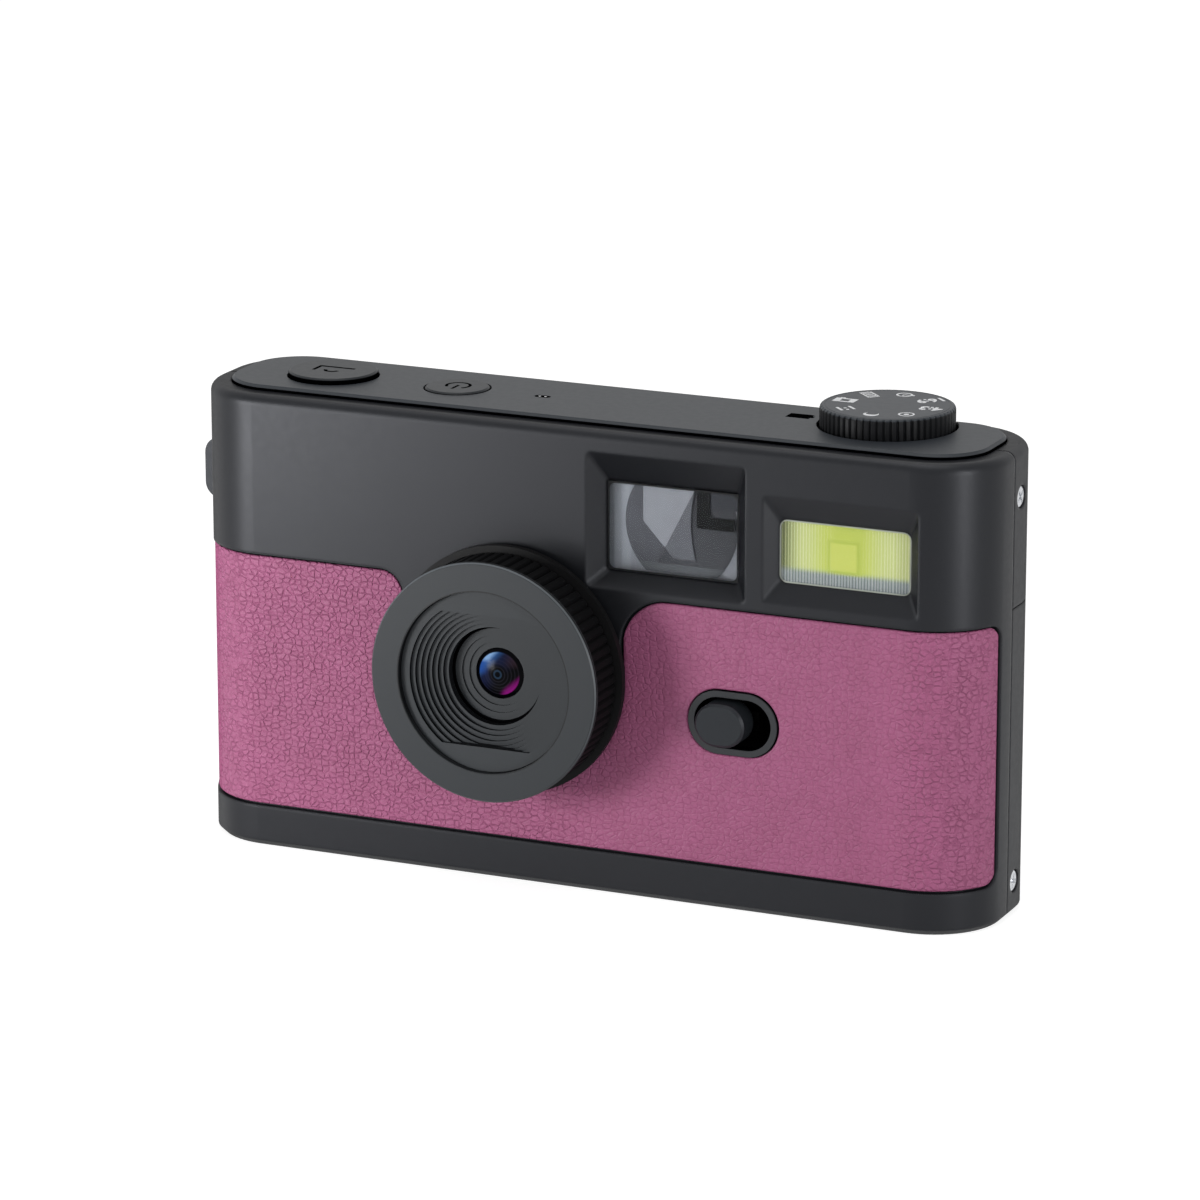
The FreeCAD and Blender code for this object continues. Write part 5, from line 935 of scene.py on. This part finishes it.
def ridged_dial():
    """The dial as rings of points over height: the radius runs straight up the side, over the
    bevel and in over the top, with a fine groove inside the rim. Every sixtieth of a turn a
    straight-flanked notch is taken from the radius, fading out over the bevel."""
    outer = dial_centre[0] - dial_low[0]
    top, base = dial_face, dial_low[2]
    profile = np.array([
        (0.05, base + 2.0, 0), (1.5, base + 2.0, 0), (1.5, base, 0), (outer - 0.6, base, 0),
        (outer - 0.15, base, 0.4), (outer, base + 0.15, 1), (outer, top - 0.55, 1),
        (outer - 0.02, top - 0.36, 1), (outer - 0.12, top - 0.14, 0.6),
        (outer - 0.3, top - 0.02, 0.15), (outer - 0.42, top, 0), (outer - 0.62, top, 0),
        (outer - 0.66, top - 0.05, 0), (outer - 0.74, top - 0.05, 0), (outer - 0.78, top, 0),
        (outer - 2.5, top, 0), (0.05, top, 0)])
    share = np.array([0.0, 0.15, 0.27, 0.38, 0.5, 0.62, 0.73, 0.85])
    angle = ((np.arange(DIAL_NOTCHES)[:, None] + share) / DIAL_NOTCHES).ravel() * 2 * math.pi
    notch = np.clip(1 - np.minimum(share, 1 - share) / 0.27, 0, 1) * 0.3
    radius = profile[:, :1] - profile[:, 2:] * np.tile(notch, DIAL_NOTCHES)[None, :]
    return stack(join(dial_centre[0] + radius * np.cos(angle),
                      dial_centre[1] + radius * np.sin(angle), profile[:, 1:2]))


piece("ridged_dial", [ridged_dial()], "dial", dial_plastic, ["mode_dial"], 25.0)


def lettering(words, tall):
    """Plain block letters about their own middle, as points (across, up, out) and faces."""
    curve = bpy.data.curves.new("letters", "FONT")
    curve.body = words
    curve.size = tall / 0.7
    curve.offset = tall * 0.045
    curve.extrude = MARK_DEPTH / 2
    curve.resolution_u = 2
    holder = bpy.data.objects.new("letters", curve)
    mesh = bpy.data.meshes.new_from_object(holder)
    points = np.array([vertex.co for vertex in mesh.vertices])
    faces = [list(face.vertices) for face in mesh.polygons]
    points -= (points.min(0) + points.max(0)) / 2
    bpy.data.objects.remove(holder)
    bpy.data.curves.remove(curve)
    bpy.data.meshes.remove(mesh)
    return points, faces


def plate(outline):
    """A flat mark with the outline's form, as points (across, up, out) and faces."""
    return slab(outline, on_top, -MARK_DEPTH / 2, MARK_DEPTH / 2)


def line(start, end, width):
    """A straight stroke."""
    return plate(bar(start, end, width))


def stroke(outline):
    """A curved mark between two lines of points, as points (across, up, out) and faces."""
    return strip(outline, on_top, -MARK_DEPTH / 2, MARK_DEPTH / 2)


def ring_mark(radius, width, at=(0.0, 0.0), first=0.0, last=360.0):
    """A ring or part of one about a point: out along one arc and back along the other."""
    angle = np.radians(np.linspace(first, last, 40))
    unit = join(np.cos(angle), np.sin(angle))
    arcs = [unit * (radius + width / 2), (unit * (radius - width / 2))[::-1]]
    return stroke(np.vstack(arcs) + at)


def block(left, right, low, high):
    """A filled rectangle."""
    return stroke(np.array([(left, low), (left, high), (right, high), (right, low)]))


def camera_mark():
    """A camera: body round its lens, and a finder hump."""
    return [block(-1.35, -0.55, -0.85, 0.85), block(0.55, 1.35, -0.85, 0.85),
            block(-0.6, 0.6, 0.5, 0.85), block(-0.6, 0.6, -0.85, -0.5),
            line((-0.95, 1.0), (-0.35, 1.0), 0.3)]


def clock_mark():
    """A timer: ring, two hands and a stub on top."""
    return [ring_mark(0.85, 0.24), line((0, 0), (0, 0.62), 0.2), line((0, 0), (0.42, -0.1), 0.2),
            line((0, 0.95), (0, 1.25), 0.4)]


def strips_mark():
    """A strip of film: the four strokes of a frame, and upright bars."""
    return ([line((-1.35, z), (1.35, z), 0.24) for z in (-0.63, 0.63)]
            + [line((x, -0.63), (x, 0.63), 0.24) for x in (-1.23, 1.23)]
            + [line((x, -0.6), (x, 0.6), 0.26) for x in (-0.7, 0.0, 0.7)])


def moon_mark():
    """A crescent between two arcs."""
    turn = np.radians(np.linspace(60, 300, 24))
    outer = join(0.9 * np.cos(turn), 0.9 * np.sin(turn))
    inner = join(0.55 * np.cos(turn) + 0.28, 0.72 * np.sin(turn))
    return [stroke(np.vstack([outer, inner[::-1]]))]


def dial_marks():
    """Eight marks round the dial's top, each read from the rim towards the middle."""
    marks = ((180, camera_mark()), (135, strips_mark()), (90, clock_mark()),
             (45, [lettering("16:9", 1.5)]), (0, [lettering("4:3", 1.6)]),
             (-45, [ring_mark(0.85, 0.22), plate(circle(0.32, 20))]), (-90, moon_mark()),
             (-135, [lettering("1:1", 1.5)]))
    parts = []
    for degrees, shapes in marks:
        turn = math.radians(degrees)
        out = np.array([math.cos(turn), math.sin(turn)])
        across, up = -out, np.array([out[1], -out[0]])
        for points, faces in shapes:
            flat = (dial_centre[:2] + out * 6.0 + points[:, :1] * across * 1.12
                    + points[:, 1:2] * up * 1.15)
            parts.append((np.column_stack([flat, dial_face + points[:, 2] * 0.8]), faces))
    return parts


def on_button(points, node):
    """Places marks on the top of a round button."""
    x, y, _ = middle(node)
    return np.array([x, y, span(node)[1][2] - 0.012]) + points * (1, 1, 0.8)


def on_key(points, node):
    """Places marks on the rear face of a key, as seen from behind."""
    x, _, z = middle(node)
    return np.array([x, span(node)[1][1] - 0.021, z]) + points[:, [0, 2, 1]] * (-1, 1, 1)


def mark(body, node, place, look, shapes):
    """Lays a mark on a button or key."""
    piece(body + "_mark", [(place(points, node), faces) for points, faces in shapes], body, look)


piece("dial_marks", dial_marks(), "dial", white_print)
mark("shutter", "shutter_button", on_button, engraved,
     [line((-2.4, -1.3), (-2.4, 1.4), 0.5), line((-2.65, 1.15), (2.7, 1.15), 0.55),
      ring_mark(0.95, 0.5, (0.1, -0.5), 185, 345)])
mark("power", "power_button", on_button, engraved,
     [ring_mark(1.6, 0.42, (0.0, 0.3), -50, 225), line((0, 0.4), (0, -1.8), 0.42)])
light_x, light_y, _ = middle("status_light")
light_top = span("status_light")[1][2]
piece("status_points", [slab(circle(0.17, 16) + (light_x + x, light_y), on_top,
                             light_top - 0.05, light_top + 0.01) for x in (-0.42, 0.42)],
      "housing", white_print)
mark_end = dial_low[0] - 1.8
index = bar((mark_end - 3.3, dial_centre[1]), (mark_end, dial_centre[1]), 2.2)
piece("index_mark", [slab(index, on_top, PLATE_TOP - 0.15, PLATE_TOP + 0.012)], "housing",
      engraved)
TRIANGLE = np.array([(-0.75, -0.5), (0.75, -0.5), (0.0, 0.75)])
for body, shapes in (
        ("ok", [lettering("OK", 1.3)]), ("up", [plate(TRIANGLE)]), ("down", [plate(-TRIANGLE)]),
        ("menu", [line((-0.8, z), (0.8, z), 0.24) for z in (-0.55, 0.0, 0.55)]),
        ("play", [plate(TRIANGLE[:, ::-1] * (1, -1))])):
    mark(body, body + "_key", on_key, white_print, shapes)


# ------------------------ camera, light and floor

CAMERA_PLACE = (0.311302, -0.697339, 0.244206)
CAMERA_LENS = 177.17
CAMERA_TILT, CAMERA_TURN = 74.816, 24.167
LAMPS_AIM = np.array([0.0, 0.0, 0.03])
WORLD = 0.3
LIGHTS = (  # name, place, size and power
    ("key", (-0.175, -0.195, 0.038), (0.08, 0.09), 0.6),
    ("overhead", (-0.05, -0.05, 0.9), (0.8, 0.5), 2.8),
    ("right", (0.27, -0.13, 0.06), (0.04, 0.14), 0.42),
)


def aimed(aim):
    """Turns a lamp so that it shines along the given direction."""
    flat = math.hypot(aim[0], aim[1])
    return (math.atan2(flat, -aim[2]), 0.0, math.atan2(aim[1], aim[0]) - math.pi / 2)


def seen(work):
    """A mask for what the camera sees, also by way of a mirror or through glass."""
    path = work.node("ShaderNodeLightPath").outputs
    return work.larger(path["Is Camera Ray"],
                       work.larger(path["Is Glossy Ray"], path["Is Transmission Ray"]))


def floor_look(work):
    """Pale floor that lights up where it is seen."""
    shade = work.noise(work.place(), 0.01, 2.0)
    return {"Base_Color": work.mix(shade, (0.5, 0.5, 0.5, 1), (0.52, 0.52, 0.52, 1)),
            "Roughness": work.share(shade, 0.8, 0.9),
            "Emission_Strength": work.share(seen(work), 0.0, 0.8)}


def studio():
    """Pale floor, soft lights and the camera."""
    scene = bpy.context.scene

    def add(name, data, place=(0, 0, 0), turn=(0, 0, 0)):
        obj = bpy.data.objects.new(name, data)
        scene.collection.objects.link(obj)
        obj.location = place
        obj.rotation_euler = turn
        return obj

    mesh = bpy.data.meshes.new("floor")
    mesh.from_pydata([(-3, -3, 0), (3, -3, 0), (3, 6, 0), (-3, 6, 0)], [], [(0, 1, 2, 3)])
    mesh.materials.append(finish("pale_floor", floor_look, Emission_Color=(1, 1, 1, 1),
                                 Specular_IOR_Level=0.05))
    add("floor", mesh)

    scene.world = bpy.data.worlds.new("studio")
    scene.world.use_nodes = True
    tree = scene.world.node_tree
    work = Tree(tree)
    back = tree.nodes["Background"]
    work.put(back.inputs["Color"], (1, 1, 1, 1))
    work.put(back.inputs["Strength"], work.share(seen(work), WORLD, 1.0))

    for name, place, size, power in LIGHTS:
        lamp = bpy.data.lights.new(name, "AREA")
        lamp.shape = "RECTANGLE"
        lamp.size, lamp.size_y = size
        lamp.energy = power
        add(name, lamp, place, aimed(LAMPS_AIM - place)).visible_camera = False

    camera = bpy.data.cameras.new("camera")
    camera.lens = CAMERA_LENS
    camera.sensor_width = 36.0
    camera.clip_start = 0.01
    turn = (math.radians(CAMERA_TILT), 0.0, math.radians(CAMERA_TURN))
    scene.camera = add("camera", camera, CAMERA_PLACE, turn)
    scene.view_settings.view_transform = "Standard"


studio()
